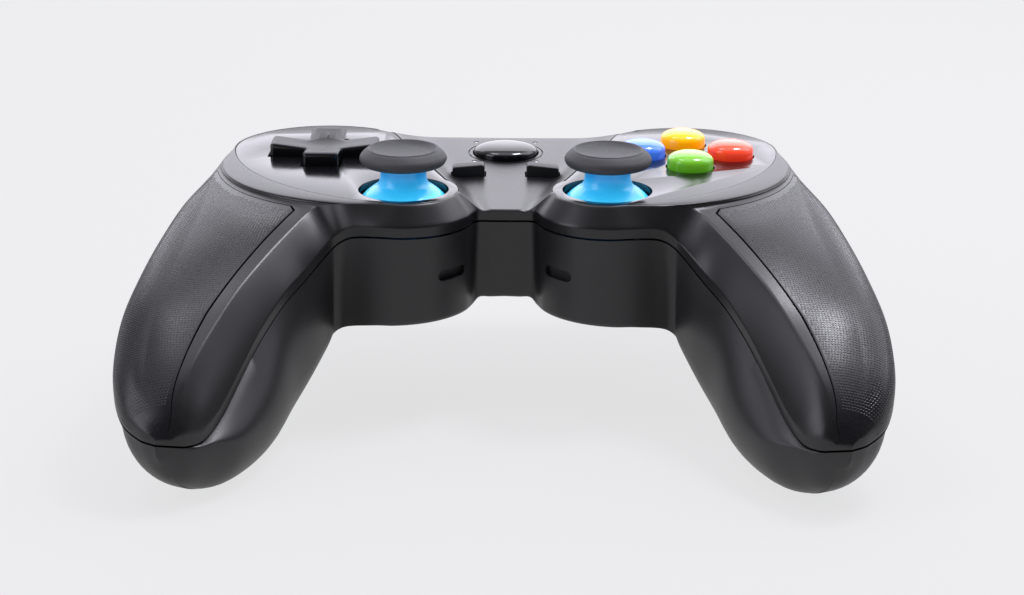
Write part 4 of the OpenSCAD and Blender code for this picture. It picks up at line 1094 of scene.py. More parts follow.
class GAMEPAD_OT_shells(bpy.types.Operator):
    """Builds the top and bottom shells as fine lofts and cuts their openings"""

    bl_idname = "gamepad.shells"
    bl_label = "Shells"

    def execute(self, context):
        rows = np.concatenate([np.arange(0, PANEL_START + 0.01, 0.125), [PANEL_START + STEP_RUN],
                               np.arange(PANEL_START + 0.1, LAST + 0.01, 0.1)])
        columns = list(range(len(TOP_COLUMNS)))
        top = rings("top_shell_skin", both_sides(top_grid(rows, columns, STRIP_W, PANEL_T)))
        cut(top, rings("hollow", both_sides(top_hollow(hollow_rows()))))
        pockets = [prism("pocket", face_outline(RIM_W - FIT_GAP), -PLATE_T - FIT_GAP, 2),
                   prism("opening", face_outline(RIM_W + 1), -PLATE_T - 4, -0.6)]
        for tool in on_both_sides(pockets):
            cut(top, tool)
        cut(top, *on_both_sides(shoulder_tools()))
        keys = [cylinder("home", (0, HOME_Y), HOME_R + KEY_GAP, -12, 2, 96)]
        keys += [oblong("key", (side * KEY_X, KEY_Y), KEY_L + 2 * KEY_GAP, KEY_W + 2 * KEY_GAP, -12, 2)
                 for side in (LEFT, RIGHT)]
        keys += [cylinder("light", p, LIGHT_R + 0.05, -12, 2, 24) for p in LIGHTS]
        cut(top, *keys, ring_tool())
        piece(top, BODY, satin_black_abs(), ["top_shell"])

        rows = np.arange(0, LAST + 0.01, 0.125)
        bottom = rings("bottom_shell_skin", both_sides(bottom_grid(rows)))
        cut(bottom, rings("hollow", both_sides(bottom_hollow(hollow_rows()))))
        cut(bottom, *on_both_sides(shoulder_tools()))
        tools = [clip_tool(), cylinder("back_head", BACK_POST, SINK_R, -40, BACK_HEAD_Z),
                 cylinder("grip_head", GRIP_POST, SINK_R, -60, GRIP_HEAD_Z),
                 cylinder("grip_hole", GRIP_POST, BORE_R, -60, -15)]
        cut(bottom, *on_both_sides(tools))
        cut(bottom, oblong("port", (0, BACK_Y), PORT_W + 0.6, 10, BOARD_Z - 0.3, BOARD_Z + PORT_H + 0.3))
        posts = [cylinder("post", BACK_POST, 3.4, -BODY_DEPTH + 3, BOARD_Z - 1.7)]
        cut(posts[0], cylinder("bore", BACK_POST, BORE_R, -60, 0),
            cylinder("head", BACK_POST, SINK_R, -60, BACK_HEAD_Z))
        joined(bottom, *on_both_sides(posts))
        piece(bottom, BODY, matt_black_abs(), ["bottom_shell"])
        return {"FINISHED"}


class GAMEPAD_OT_face_plates(bpy.types.Operator):
    """Builds the two glossy plates with the openings for the sticks, the cross pad and the face buttons"""

    bl_idname = "gamepad.face_plates"
    bl_label = "Face plates"

    def execute(self, context):
        for side in (LEFT, RIGHT):
            name = SIDE_NAMES[side] + "_face_plate"
            plate = prism(name + "_gloss", face_outline(RIM_W), -PLATE_T, 0)
            tools = [cylinder("stick_hole", STICK, STICK_HOLE_R, -10, 5, 128)]
            if side == LEFT:
                tools += [oblong("bar", (CLUSTER_X, CROSS_Y), *span, -10, 5) for span in (
                    (CROSS_SPAN + 1, CROSS_ARM + 0.8), (CROSS_ARM + 0.8, CROSS_SPAN + 1))]
            else:
                tools += [cylinder("button_hole", spot, BUTTON_R + KEY_GAP, -10, 5, 96)
                          for spot in BUTTON_SPOTS]
            cut(plate, *tools)
            bevel(plate, sizes().edge_round / MM, 3, 60)
            if side == LEFT:
                left = mirrored(plate, name + "_polished")
                discard(plate)
                plate = left
            piece(plate, BODY, piano_black(), [name])
        return {"FINISHED"}


# Grip panels

SQUARE_FOOT, SQUARE_TOP = 0.7071, 0.42


def node_tree(name, *lengths):
    """Geometry node tree that takes points, some lengths and a material, and its input sockets"""
    tree = bpy.data.node_groups.new(name, "GeometryNodeTree")
    sockets = [("Geometry", "Geometry"), *((length, "Float") for length in lengths), ("Material", "Material")]
    for label, kind in sockets:
        tree.interface.new_socket(label, in_out="INPUT", socket_type="NodeSocket" + kind)
    tree.interface.new_socket("Geometry", in_out="OUTPUT", socket_type="NodeSocketGeometry")
    return tree, add(tree, "NodeGroupInput").outputs


def times(tree, value, factor):
    return add(tree, "ShaderNodeMath", [(0, value)], [(1, factor)], operation="MULTIPLY").outputs[0]


def vector(tree, **parts):
    return add(tree, "ShaderNodeCombineXYZ", parts.items()).outputs[0]


def closing(tree, given, geometry):
    """Ends a node tree with real geometry in the given material"""
    real = add(tree, "GeometryNodeRealizeInstances", [("Geometry", geometry)])
    painted = add(tree, "GeometryNodeSetMaterial", [
        ("Geometry", real.outputs["Geometry"]), ("Material", given["Material"])])
    add(tree, "NodeGroupOutput", [("Geometry", painted.outputs["Geometry"])])
    return tree


def grid_tree():
    """Node tree that sets a small raised square on every point, turned to the surface"""
    tree = bpy.data.node_groups.get("raised_squares")
    if tree:
        return tree
    tree, given = node_tree("raised_squares", "Square", "Height")
    square = add(tree, "GeometryNodeMeshCone", [
        ("Radius Bottom", times(tree, given["Square"], SQUARE_FOOT)),
        ("Radius Top", times(tree, given["Square"], SQUARE_TOP)),
        ("Depth", given["Height"])], [("Vertices", 4)])
    out = add(tree, "GeometryNodeInputNamedAttribute", [], [("Name", "outwards")], data_type="FLOAT_VECTOR")
    turn = add(tree, "FunctionNodeAlignRotationToVector", [("Vector", out.outputs["Attribute"])], axis="Z")
    spread = add(tree, "GeometryNodeInstanceOnPoints", [
        ("Points", given["Geometry"]), ("Instance", square.outputs["Mesh"]),
        ("Rotation", turn.outputs["Rotation"])])
    return closing(tree, given, spread.outputs["Instances"])


def grown(obj, tree, **values):
    """Runs a node tree on an object with its inputs set, and keeps the result as a plain mesh"""
    modifier = obj.modifiers.new("grow", "NODES")
    modifier.node_group = tree
    for item in tree.interface.items_tree:
        if item.in_out == "INPUT" and item.name in values:
            modifier[item.identifier] = values[item.name]
    return freeze(obj)


def grid_points(skin, pitch, margin):
    """Points in rows across a panel's outside, and the surface's direction at them, in millimetres"""
    across, down = np.gradient(skin, axis=1), np.gradient(skin, axis=0)
    normals = unit(np.cross(down, across))
    normals *= np.sign(normals[..., 2:3].mean())
    spots = []
    middle = skin[::-1, skin.shape[1] // 2]
    length = run_along(middle)
    steps = np.interp(np.arange(0, length[-1], pitch), length, middle[:, 1])
    for y in np.concatenate([steps, np.arange(steps[-1] + pitch, skin[..., 1].max(), pitch)]):
        row = []
        for j in range(skin.shape[1]):
            ys = skin[::-1, j, 1]
            if ys[0] + 5 * margin < y < ys[-1] - margin:
                both = np.concatenate([skin[::-1, j], normals[::-1, j]], -1)
                row.append([np.interp(y, ys, both[:, c]) for c in range(6)])
        if len(row) < 2:
            continue
        row = np.array(row)
        run = run_along(row[:, :3])
        for d in np.arange(margin, run[-1] - margin, pitch):
            spots.append([np.interp(d, run, row[:, c]) for c in range(6)])
    return np.array(spots)


class GAMEPAD_OT_grip_panels(bpy.types.Operator):
    """Builds the two grip panels and the rows of small raised squares on them"""

    bl_idname = "gamepad.grip_panels"
    bl_label = "Grip panels"

    def execute(self, context):
        rows = np.concatenate([[PANEL_START + 0.04], np.arange(PANEL_START + 0.1, LAST + 0.01, 0.1)])
        gap = STRIP_W + GROOVE_W
        upper = top_grid(rows, PANEL_COLUMNS, gap, 0)
        lower = top_grid(rows, PANEL_COLUMNS, gap, PANEL_T - FIT_GAP)
        loops = [np.concatenate([high, low[::-1]]) for high, low in zip(upper, lower)]
        right = rings("right_grip_panel_skin", loops)
        bevel(right, 0.32, 3, 50)
        left = mirrored(right, "left_grip_panel_skin")
        spots = grid_points(upper, sizes().grid_pitch / MM, 0.7)
        for name, panel, side in (("right", right, RIGHT), ("left", left, LEFT)):
            piece(panel, BODY, grip_abs(), [name + "_grip_panel"])
            mesh = bpy.data.meshes.new(name + "_grip_grid")
            mesh.from_pydata([tuple(p) for p in (spots[:, :3] * (side, 1, 1) + FACE_ORIGIN) * MM], [], [])
            mesh.attributes.new("outwards", "FLOAT_VECTOR", "POINT").data.foreach_set(
                "vector", (spots[:, 3:] * (side, 1, 1)).astype(np.float32).ravel())
            squares = link(name + "_grip_grid", mesh)
            grown(squares, grid_tree(), Square=sizes().grid_square, Height=sizes().grid_height,
                  Material=grip_abs())
            piece(squares, BODY, grip_abs(), smooth=20)
        return {"FINISHED"}


# Sticks

CAP_R = (CAP_BOX[1][0] - CAP_BOX[0][0]) / 2
CAP_H = CAP_BOX[1][2] - FACE_ORIGIN[2]
NECK_R = 5.0
NECK_TOP = CAP_H - 3
DOME_R, DOME_T = 12.0, 1.0
PIVOT_Z = -9.5
SKIRT_A = 71
SHAFT_R, SHAFT_LOW = 1.5, 2.8


def on_dome(r, a):
    return [r * math.sin(math.radians(a)), PIVOT_Z + r * math.cos(math.radians(a))]


def cap_profile():
    r, h = CAP_R, CAP_H
    return soften([
        (0, NECK_TOP), (NECK_R + 0.02, NECK_TOP), (NECK_R + 0.02, NECK_TOP - 0.9, 0.3),
        (r - 1.5, h - 3.85, 0.8), (r - 0.05, h - 3.1, 1.0), (r - 0.02, h - 1.7, 0.7),
        (r - 1.7, h, 1.1), (r - 2.5, h, 0.7), (r - 3.3, h - 0.75, 0.9),
        (r - 5.5, h - 1.15, 1.5), (0, h - 1.3)], 7)


def stem_profile():
    first = math.degrees(math.asin((NECK_R + 1.5) / DOME_R))
    neck = soften([(0, NECK_TOP), (NECK_R, NECK_TOP, 0.2), (NECK_R, 1.4, 2.2), on_dome(DOME_R, first)], 9)
    dome = [on_dome(DOME_R, a) for a in np.linspace(first, SKIRT_A, 24)]
    under = [on_dome(DOME_R - DOME_T, a) for a in np.linspace(SKIRT_A, 12, 20)]
    shaft = [(SHAFT_R, under[-1][1] - 0.6), (SHAFT_R, PIVOT_Z - SHAFT_LOW), (0, PIVOT_Z - SHAFT_LOW)]
    return [*neck, *dome[1:], *under, *shaft]


class GAMEPAD_OT_sticks(bpy.types.Operator):
    """Builds the two rubber caps and the two blue stems with their domes"""

    bl_idname = "gamepad.sticks"
    bl_label = "Sticks"

    def execute(self, context):
        for side in (LEFT, RIGHT):
            name = SIDE_NAMES[side]
            centre = STICK * (side, 1)
            cap = revolve(name + "_stick_cap_rubber", cap_profile(), centre, 128)
            piece(cap, name + "_stick", cap_rubber(), [name + "_stick_cap"])
            stem = revolve(name + "_stick_stem_blue", stem_profile(), centre, 128)
            # The stem's dome gets a painted glow from the tinted material
            blue = tinted("sky_blue_polycarbonate_polished", look("stem"), look("stem_dome_glow"), 0.3)
            piece(stem, name + "_stick", blue, [name + "_stick_stem"])
        return {"FINISHED"}


# Cross pad

CLUSTER_X = 42.0
CROSS_Y = 31.0
CROSS_SPAN, CROSS_ARM, CROSS_H = 24.8, 8.1, 3.0
ARM_RISE = 0.95
SKIRT_R, SKIRT_TOP = 13.6, -3.6
DISH_R, DISH_DEEP = 4.9, 0.75
BALL_R, BALL_Z = 2.2, -2.0
PLUNGER_Z = BOARD_Z + 3.9
PLUNGER_STEP = 9.4


def cross_ring(inset):
    """Outline of the cross, moved inwards, with its corners rounded"""
    half, w = CROSS_SPAN / 2 - inset, CROSS_ARM / 2 - inset
    r_out = max(0.9 - inset, 0.12)
    r_in = 0.6 + inset
    hollow = CROSS_ARM / 2 + 0.6
    quarter = []
    for cx, cy, r, a0, a1 in ((half - r_out, w - r_out, r_out, 0, 90), (hollow, hollow, r_in, 270, 180),
                              (w - r_out, half - r_out, r_out, 0, 90)):
        quarter += [(cx + r * math.cos(a), cy + r * math.sin(a)) for a in np.radians(np.linspace(a0, a1, 9))]
    quarter = np.array(quarter)
    ring = quarter
    for _ in range(3):
        quarter = np.stack([-quarter[:, 1], quarter[:, 0]], -1)
        ring = np.concatenate([ring, quarter])
    return ring


def cross_height(xy):
    """Height of the pad's top, whose arms rise outwards"""
    far = np.abs(xy).max(-1)
    arm = CROSS_H - ARM_RISE + ARM_RISE * np.clip((far - 4) / 7.2, 0, 1) ** 1.3
    roll = np.clip((far - 11.2) / 1.2, 0, 1) ** 2 * 0.25
    return arm - roll


def dish_tool(centre):
    """Cutter for the round dish in the middle of the pad"""
    low = CROSS_H - ARM_RISE - DISH_DEEP
    hollow = [(r, low + DISH_DEEP * (r / DISH_R) ** 2) for r in np.linspace(0, DISH_R * 1.25, 24)]
    return revolve("dish", hollow + [(DISH_R * 1.25, CROSS_H + 2), (0, CROSS_H + 2)], centre, 96)


class GAMEPAD_OT_cross_pad(bpy.types.Operator):
    """Builds the cross pad with its dish, skirt and plungers"""

    bl_idname = "gamepad.cross_pad"
    bl_label = "Cross pad"

    def execute(self, context):
        centre = np.array([-CLUSTER_X, CROSS_Y])
        edge = 0.55
        foot = cross_ring(0)
        sections = [with_z(centre + foot, np.full(len(foot), z)) for z in (SKIRT_TOP - 0.5, 0.5)]
        for a in np.linspace(0, 90, 6):
            inset = edge * (1 - math.cos(math.radians(a)))
            ring = cross_ring(inset)
            drop = edge * (1 - math.sin(math.radians(a)))
            sections.append(with_z(centre + ring, cross_height(cross_ring(edge)) - drop))
        for inset in np.arange(edge + 0.35, 3.9, 0.35):
            ring = cross_ring(inset)
            sections.append(with_z(centre + ring, cross_height(ring)))
        pad = rings("cross_pad_moulded", sections)
        skirt = revolve("skirt", [(0, SKIRT_TOP - 1), (SKIRT_R, SKIRT_TOP - 1), (SKIRT_R, SKIRT_TOP - 0.2),
                                  (SKIRT_R - 0.2, SKIRT_TOP), (0, SKIRT_TOP)], centre, 96)
        plungers = [cylinder("plunger", centre + PLUNGER_STEP * direction(90 * k), 2.2, PLUNGER_Z,
                             SKIRT_TOP - 0.5, 40) for k in range(4)]
        combine(pad, [skirt, *plungers], "UNION")
        cut(pad, dish_tool(centre))
        low, high = SKIRT_TOP - 2, BALL_Z + 0.7
        cut(pad, revolve("socket", [(0, low), (4.4, low), (4.4, high), (0, high)], centre, 64))
        ball = [(BALL_R + 0.05) * direction(a) for a in np.linspace(-90, 90, 24)]
        cut(pad, revolve("ball_seat", [(max(0, x), BALL_Z + y) for x, y in ball], centre, 64))
        piece(pad, "cross_pad", [pad_side(), pad_top()], ["cross_pad"])
        for face in pad.data.polygons:
            if face.normal.z > 0.55 and face.center.z > FACE_ORIGIN[2] * MM:
                face.material_index = 1
        return {"FINISHED"}


# Buttons and centre keys

BUTTON_R = 5.25
BUTTON_H = 3.7
BUTTON_STEP = 10.2
BUTTONS_Y = 30.3
BUTTON_SPOTS = [np.array([CLUSTER_X, BUTTONS_Y]) + BUTTON_STEP * direction(180 - 90 * k) for k in range(4)]
BUTTON_NAMES = ("left", "top", "right", "bottom")
BUTTON_SLOTS = ("button_blue", "button_yellow", "button_red", "button_green")
# Colours at each face button's foot, used for its base colour and its painted glow
BUTTON_FOOT_GLOWS = ("#1a3fa8", "#d97800", "#b01508", "#2d6e08")


def dome_profile(r, z_side, z_top, z_flange, flange_r):
    """Plunger, flange, straight side and dome of a round key"""
    rise = z_top - z_side
    low = soften([(0, PLUNGER_Z), (3, PLUNGER_Z, 0.3), (3, z_flange - 1.2, 0.3),
                  (flange_r, z_flange - 1.2, 0.2), (flange_r, z_flange, 0.2), (r, z_flange, 0.2),
                  (r, z_side - 0.2)], 4)
    dome = [(r * math.cos(a) ** 0.8 if a < 1.57 else 0, z_side + rise * math.sin(a))
            for a in np.linspace(0, math.pi / 2, 20)]
    return [*low, *dome]


class GAMEPAD_OT_face_buttons(bpy.types.Operator):
    """Builds the four tinted face buttons"""

    bl_idname = "gamepad.face_buttons"
    bl_label = "Face buttons"

    def execute(self, context):
        for k, name in enumerate(BUTTON_NAMES):
            profile = dome_profile(BUTTON_R, BUTTON_H - 2.1, BUTTON_H, -PLATE_T - FLANGE_GAP, BUTTON_R + 1)
            button = revolve("face_button_" + name + "_tinted", profile, BUTTON_SPOTS[k], 96)
            # Tinted material with a painted glow that blends from the foot colour to the button's colour
            material = tinted(BUTTON_SLOTS[k] + "_acrylic_polished", look("button_" + name),
                              srgb(BUTTON_FOOT_GLOWS[k]))
            piece(button, "face_button_" + name, material, ["face_button_" + name])
        return {"FINISHED"}


class GAMEPAD_OT_centre_keys(bpy.types.Operator):
    """Builds the home button, the select and start keys and the status lights"""

    bl_idname = "gamepad.centre_keys"
    bl_label = "Centre keys"

    def execute(self, context):
        z = panel_z(HOME_Y)
        profile = dome_profile(HOME_R, z + 0.6, z + 2.5, z - ROOF_CENTRE - 0.8, HOME_R + 1.1)
        home = revolve("home_button_dome", profile, (0, HOME_Y), 128)
        gloss = polished("piano_black_abs_dome", look("home"), 0.04, 1.58)
        piece(home, "home_button", gloss, ["home_button"])

        z = panel_z(KEY_Y)
        flange = z - ROOF_CENTRE - 0.8
        for name, side in (("select", LEFT), ("start", RIGHT)):
            x, half, w = side * KEY_X, KEY_L / 2, KEY_W / 2
            high, low = z + KEY_H + 0.3, z + KEY_H - 0.6
            side_view = [(half, flange - 0.5), (half, low), (half - 0.5, low + 0.3), (0.5 - half, high),
                         (-half, z + KEY_H), (-half, flange - 0.5)]
            key = rings(name + "_key_moulded", [[[x + side * u, y, v] for u, v in side_view]
                                                for y in (KEY_Y - w, KEY_Y + w)])
            bevel(key, 0.3, 3, 35)
            foot = oblong("foot", (x, KEY_Y), KEY_L + 1.8, KEY_W + 1.8, flange - 1, flange)
            plunger = cylinder("plunger", (x, KEY_Y), 2, PLUNGER_Z, flange - 0.5, 40)
            combine(key, [foot, plunger], "UNION")
            piece(key, name + "_key", key_abs(), [name + "_key"])

        lights = []
        for x, y in LIGHTS:
            z = panel_z(y)
            profile = [(0, z - 3.4), (LIGHT_R, z - 3.4), (LIGHT_R, z - 0.25), (LIGHT_R - 0.1, z - 0.15),
                       (0, z - 0.15)]
            lights.append(revolve("light", profile, (x, y), 24))
        lights[0].name = "status_lights_clear"
        joined(*lights)
        piece(lights[0], BODY, light_guide(), ["status_lights"])
        return {"FINISHED"}


# Shoulder keys

BLADE_TIP = LOBE[1] + BUMPER_R - 1.3
BLADE_LOW = TRIGGER_Z - 4.2


def bumper_sections():
    """Sections of the right bumper, thinner toward its rounded ends"""
    r, top, low = BUMPER_R, BUMPER_TOP, BUMPER_LOW
    corners = [(BUMPER_IN_R, low), (r, low, 0.7), (r, top - 2.1, 1.2), (r - 2.4, top, 1.0),
               (BUMPER_IN_R, top)]
    profile = soften(corners, 6)
    out = []
    end = BUMPER_FROM + np.array([0, 0.4, 1, 2])
    for a in np.concatenate([end, np.linspace(BUMPER_FROM + 4, BUMPER_TO, 40)]):
        ease = min(1.0, (a - BUMPER_FROM) / 4)
        pull = 1.4 * (1 - math.sqrt(max(0.0, 1 - (1 - ease) ** 2)))
        radius = np.where(profile[:, 0] > BUMPER_IN_R + 0.5, profile[:, 0] - pull, profile[:, 0])
        out.append(with_z(LOBE + radius[:, None] * direction(a), profile[:, 1]))
    return out


def trigger_sections():
    """Sections of the right trigger's blade, hollowed for the finger, with a flared lower lip"""
    tip, high, low = BLADE_TIP, TRIGGER_Z + 1.1, BLADE_LOW
    corners = [(tip - 5, high + 1), (tip + 0.2, high + 1.2, 1.0), (tip + 1.2, high - 0.2, 1.0),
               (tip + 0.5, (high + low) / 2, 3), (tip + 1.2, low + 0.2, 1.2), (tip + 0.4, low - 1.2, 0.8),
               (tip - 5, low - 0.9)]
    profile = soften(corners, 7)
    middle = np.array([tip - 3, (high + low) / 2])
    half = BLADE_W / 2
    out = []
    for x in (-half, -half + 0.15, -half + 0.5, -half + 1.2, *np.linspace(-half + 2.4, half - 2.4, 12),
              half - 1.2, half - 0.5, half - 0.15, half):
        edge = min(1.0, (half - abs(x)) / 2.4)
        scale = 0.86 + 0.14 * math.sqrt(max(0.0, 1 - (1 - edge) ** 2))
        yz = middle + (profile - middle) * scale
        out.append(np.concatenate([np.full((len(yz), 1), TRIGGER_X + x), yz], 1))
    return out


def rod_along_x(name, x0, x1, y, z, r, segments=48):
    turn = direction(np.arange(segments) * 360 / segments) * r
    return rings(name, [[[x, y + p[0], z + p[1]] for p in turn] for x in (x0, x1)])


class GAMEPAD_OT_shoulder_keys(bpy.types.Operator):
    """Builds the bumpers and the triggers"""

    bl_idname = "gamepad.shoulder_keys"
    bl_label = "Shoulder keys"

    def execute(self, context):
        bumper = rings("right_bumper_moulded", bumper_sections())
        hub = cylinder("hub", BUMPER_PIVOT, HUB_R, BUMPER_LOW + 0.2, BUMPER_TOP - 0.2)
        combine(bumper, [hub], "UNION")
        cut(bumper, cylinder("bore", BUMPER_PIVOT, 1.05, -30, 5, 48))
        trigger = rings("right_trigger_moulded", trigger_sections())
        tip, low, high = BLADE_TIP, BLADE_LOW, TRIGGER_Z + 2.1
        x0, x1 = TRIGGER_X + 1.2 - 8.5, TRIGGER_X + 1.2 + 8.5
        web = [(TRIGGER_Y, TRIGGER_Z + HUB_R), (tip - 3, high), (tip - 3, low), (TRIGGER_Y + 3, low),
               (TRIGGER_Y, TRIGGER_Z - HUB_R)]
        arm = rings("arm", [[[x, y, z] for y, z in web] for x in (x0, x1)])
        combine(trigger, [arm, rod_along_x("hub", x0, x1, TRIGGER_Y, TRIGGER_Z, HUB_R)], "UNION")
        cut(trigger, rod_along_x("bore", TRIGGER_X - 20, TRIGGER_X + 20, TRIGGER_Y, TRIGGER_Z, 1.25))
        for right, name in ((bumper, "bumper"), (trigger, "trigger")):
            left = mirrored(right, "left_" + name + "_moulded")
            for obj, side in ((right, "right_"), (left, "left_")):
                piece(obj, side + name, shoulder_abs(), [side + name])
        return {"FINISHED"}


# Case screws

def screw_tree():
    """Node tree that sets a cross-recess screw on every point, with a shaft as long as the point says"""
    tree, given = node_tree("case_screw", "Head radius", "Head height", "Shaft radius", "Recess width",
                            "Recess depth")
    head = add(tree, "GeometryNodeMeshCylinder", [
        ("Radius", given["Head radius"]), ("Depth", given["Head height"])], [("Vertices", 40)])
    sunk = add(tree, "GeometryNodeTransform", [
        ("Geometry", head.outputs["Mesh"]),
        ("Translation", vector(tree, Z=times(tree, given["Head height"], -0.5)))])
    recess = add(tree, "GeometryNodeMeshBoolean", [(0, sunk.outputs["Geometry"])],
                 operation="DIFFERENCE", solver="EXACT")
    length = times(tree, given["Head radius"], 1.5)
    at_low = vector(tree, Z=times(tree, given["Head height"], -1.0))
    deep = times(tree, given["Recess depth"], 2.0)
    for long_axis, wide_axis in (("X", "Y"), ("Y", "X")):
        shape = vector(tree, **{long_axis: length, wide_axis: given["Recess width"], "Z": deep})
        bar = add(tree, "GeometryNodeMeshCube", [("Size", shape)])
        low = add(tree, "GeometryNodeTransform", [("Geometry", bar.outputs["Mesh"]), ("Translation", at_low)])
        tree.links.new(low.outputs["Geometry"], recess.inputs[1])
    shaft = add(tree, "GeometryNodeMeshCylinder", [("Radius", given["Shaft radius"])],
                [("Vertices", 32), ("Depth", 1.0)])
    raised = add(tree, "GeometryNodeTransform", [("Geometry", shaft.outputs["Mesh"])],
                 [("Translation", (0, 0, 0.5))])
    heads = add(tree, "GeometryNodeInstanceOnPoints", [
        ("Points", given["Geometry"]), ("Instance", recess.outputs["Mesh"])])
    reach = add(tree, "GeometryNodeInputNamedAttribute", [], [("Name", "reach")], data_type="FLOAT")
    stretch = add(tree, "ShaderNodeCombineXYZ", [("Z", reach.outputs["Attribute"])], [("X", 1.0), ("Y", 1.0)])
    shafts = add(tree, "GeometryNodeInstanceOnPoints", [
        ("Points", given["Geometry"]), ("Instance", raised.outputs["Geometry"]),
        ("Scale", stretch.outputs[0])])
    both = add(tree, "GeometryNodeJoinGeometry", [
        (0, heads.outputs["Instances"]), (0, shafts.outputs["Instances"])])
    return closing(tree, given, both.outputs["Geometry"])


class GAMEPAD_OT_case_screws(bpy.types.Operator):
    """Sets the four case screws in the bottom shell"""

    bl_idname = "gamepad.case_screws"
    bl_label = "Case screws"

    def execute(self, context):
        spots = [(side * p[0], p[1], z, top - z) for p, z, top in (
            (BACK_POST, BACK_HEAD_Z, -6.0), (GRIP_POST, GRIP_HEAD_Z, -20.5)) for side in (LEFT, RIGHT)]
        mesh = bpy.data.meshes.new("case_screws_plated")
        mesh.from_pydata(row_frame([p[:3] for p in spots]).tolist(), [], [])
        mesh.attributes.new("reach", "FLOAT", "POINT").data.foreach_set("value", [p[3] * MM for p in spots])
        screws = link("case_screws_plated", mesh)
        grown(screws, screw_tree(), **{"Head radius": SCREW_HEAD_R * MM, "Head height": 2 * MM,
                                       "Shaft radius": SCREW_R * MM, "Recess width": 0.8 * MM,
                                       "Recess depth": 1.2 * MM, "Material": plated_steel()})
        piece(screws, BODY, plated_steel(), ["case_screws"])
        return {"FINISHED"}


class GAMEPAD_OT_inner_parts(bpy.types.Operator):
    """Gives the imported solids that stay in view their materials"""

    bl_idname = "gamepad.inner_parts"
    bl_label = "Inner parts"

    def execute(self, context):
        finishes = {
            "main_board": solder_mask, "battery": shrink_wrap, "charge_port": plated_steel,
            "cross_ball": ball_steel, "cross_post": bracket_abs, "cross_membrane": silicone,
            "face_button_membrane": silicone, "centre_membrane": silicone,
        }
        for side in SIDE_NAMES.values():
            finishes.update({side + "_" + name: finish for name, finish in (
                ("stick_gimbal", acetal), ("stick_yoke", acetal), ("stick_housing", pressed_steel),
                ("stick_sensors", switch_nylon), ("bumper_switch", switch_nylon),
                ("trigger_switch", switch_nylon), ("trigger_pin", plated_steel),
                ("trigger_spring", plated_steel), ("shoulder_bracket", bracket_abs),
                ("rumble_motor", pressed_steel), ("rumble_weight", brass))})
        for node, finish in finishes.items():
            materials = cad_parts[node].data.materials
            materials.clear()
            materials.append(finish())
        return {"FINISHED"}


# Stage

EYE = np.array([0.0, -405.4, 113.3])
LOOK_DOWN = 18.82
ROLL = 0.4
FOCAL_PX = 1930.0
MIDDLE_COLUMN = 504.7
SENSOR_W = 36.0
FLOOR_Z, FLOOR_REACH = -0.0001, 4.0

# Name, place, point that it faces, width and height in millimetres, and watts
SOFTBOXES = (
    ("overhead_softbox", (0, 40, 620), (0, 0, -20), 700, 500, 1.4),
    ("right_key_softbox", (230, 100, 600), (60, -40, -15), 170, 170, 2.6),
    ("left_key_softbox", (-230, 100, 600), (-60, -40, -15), 170, 170, 0.4),
    ("back_softbox", (0, 620, 330), (0, 0, 0), 1100, 560, 4.1),
    ("left_softbox", (-520, -220, 240), (40, 0, -20), 300, 500, 1.4),
    ("right_softbox", (500, 180, 400), (40, 0, -20), 400, 500, 1.6),
)


def softbox(name, place, target, width, height, watts):
    """Area lamp that faces a point, in millimetres about the face"""
    lamp = bpy.data.lights.new(name, "AREA")
    lamp.shape = "RECTANGLE"
    lamp.size, lamp.size_y = width * MM, height * MM
    lamp.energy = watts
    lamp.color = look("light")
    obj = bpy.data.objects.new(name, lamp)
    bpy.context.scene.collection.objects.link(obj)
    obj.location = row_frame(place)
    aim = Vector(row_frame(target)) - obj.location
    obj.rotation_euler = aim.to_track_quat("-Z", "Y").to_euler()


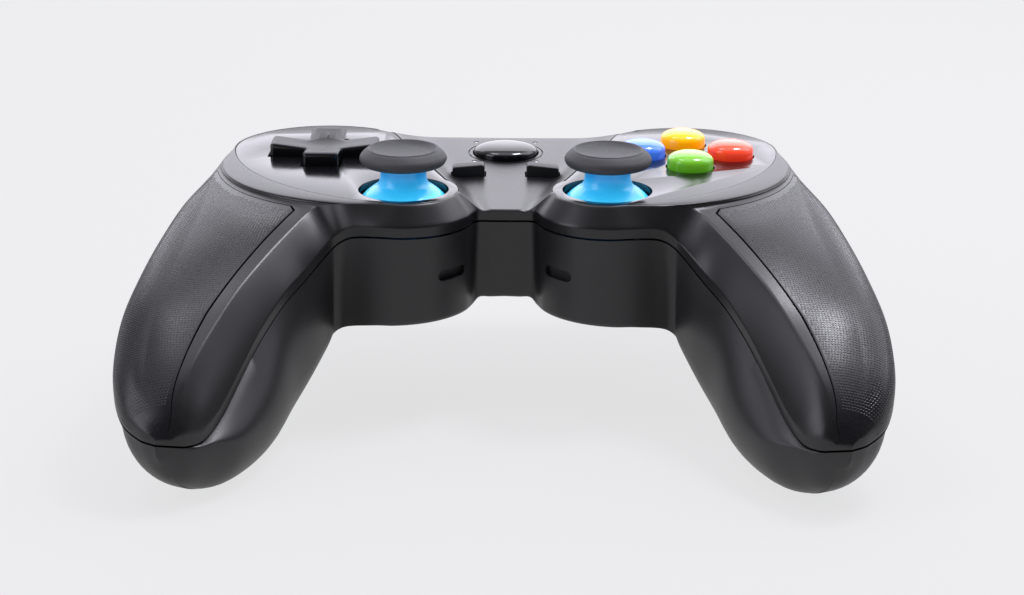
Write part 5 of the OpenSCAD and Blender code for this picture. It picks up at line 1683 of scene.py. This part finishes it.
class GAMEPAD_OT_stage(bpy.types.Operator):
    """Sets up the floor, the soft lights and the camera"""

    bl_idname = "gamepad.stage"
    bl_label = "Stage"

    def execute(self, context):
        scene = context.scene
        scene.view_settings.view_transform = "Standard"
        ground = bpy.data.meshes.new("floor")
        corners = [(x * FLOOR_REACH, y * FLOOR_REACH, FLOOR_Z)
                   for x, y in ((-1, -1), (1, -1), (1, 1), (-1, 1))]
        ground.from_pydata(corners, [], [(0, 1, 2, 3)])
        floor = link("floor", ground)
        paper = bpy.data.materials.new("pale_paper_matt")
        paper.use_nodes = True
        tree = paper.node_tree
        shader = tree.nodes["Principled BSDF"]
        shader.inputs["Base Color"].default_value = (*look("ground"), 1)
        set_inputs(shader, Roughness=0.9, Specular_IOR_Level=0.2)
        seen = add(tree, "ShaderNodeLightPath")
        pale = add(tree, "ShaderNodeEmission", [], [("Color", (*look("ground"), 1)), ("Strength", 1.0)])
        either = add(tree, "ShaderNodeMath", [
            (0, seen.outputs["Is Camera Ray"]), (1, seen.outputs["Is Glossy Ray"])], operation="MAXIMUM")
        both = add(tree, "ShaderNodeMixShader", [
            (0, times(tree, either.outputs[0], 0.9)), (1, shader.outputs[0]), (2, pale.outputs[0])])
        tree.links.new(both.outputs[0], tree.nodes["Material Output"].inputs["Surface"])
        floor.data.materials.append(paper)

        world = bpy.data.worlds.new("studio")
        scene.world = world
        world.use_nodes = True
        tree = world.node_tree
        back = tree.nodes["Background"]
        back.inputs["Color"].default_value = (*look("light"), 1)
        place = add(tree, "ShaderNodeTexCoord").outputs["Generated"]
        way = add(tree, "ShaderNodeSeparateXYZ", [("Vector", place)])
        rise = mapped(tree, way.outputs["Y"], -0.4, 0.6, 0.1, 0.85)
        tree.links.new(rise, back.inputs["Strength"])
        for lamp in SOFTBOXES:
            softbox(*lamp)

        camera = bpy.data.cameras.new("camera")
        camera.sensor_width = SENSOR_W
        camera.lens = FOCAL_PX / IMAGE_W * SENSOR_W
        camera.shift_x = (IMAGE_W / 2 - MIDDLE_COLUMN) / IMAGE_W
        camera.clip_start, camera.clip_end = 0.01, 20
        viewer = bpy.data.objects.new("camera", camera)
        scene.collection.objects.link(viewer)
        viewer.location = row_frame(EYE)
        viewer.rotation_mode = "QUATERNION"
        aim = Vector((0, math.cos(math.radians(LOOK_DOWN)), -math.sin(math.radians(LOOK_DOWN))))
        viewer.rotation_quaternion = aim.to_track_quat("-Z", "Y") @ Quaternion((0, 0, 1), math.radians(ROLL))
        scene.camera = viewer
        return {"FINISHED"}


PIECE_OPERATORS = (
    GAMEPAD_OT_shells, GAMEPAD_OT_face_plates, GAMEPAD_OT_grip_panels, GAMEPAD_OT_sticks,
    GAMEPAD_OT_cross_pad, GAMEPAD_OT_face_buttons, GAMEPAD_OT_centre_keys, GAMEPAD_OT_shoulder_keys,
    GAMEPAD_OT_case_screws, GAMEPAD_OT_inner_parts, GAMEPAD_OT_stage,
)


class GAMEPAD_PT_pieces(bpy.types.Panel):
    """Lists the gamepad's pieces and settings"""

    bl_idname = "GAMEPAD_PT_pieces"
    bl_label = "Gamepad"
    bl_space_type = "VIEW_3D"
    bl_region_type = "UI"
    bl_category = "Gamepad"

    def draw(self, context):
        for operator in PIECE_OPERATORS:
            self.layout.operator(operator.bl_idname)
        for group in (context.scene.gamepad_sizes, context.scene.gamepad_colours):
            for name in group.__annotations__:
                self.layout.prop(group, name)


CLASSES = (GamepadSizes, GamepadColours, *PIECE_OPERATORS, GAMEPAD_PT_pieces)


def register():
    for cls in CLASSES:
        bpy.utils.register_class(cls)
    bpy.types.Scene.gamepad_sizes = bpy.props.PointerProperty(type=GamepadSizes)
    bpy.types.Scene.gamepad_colours = bpy.props.PointerProperty(type=GamepadColours)


def unregister():
    del bpy.types.Scene.gamepad_colours
    del bpy.types.Scene.gamepad_sizes
    for cls in reversed(CLASSES):
        bpy.utils.unregister_class(cls)


def main():
    register()
    for operator in PIECE_OPERATORS:
        group, name = operator.bl_idname.split(".")
        getattr(getattr(bpy.ops, group), name)()


if __name__ == "__main__":
    main()
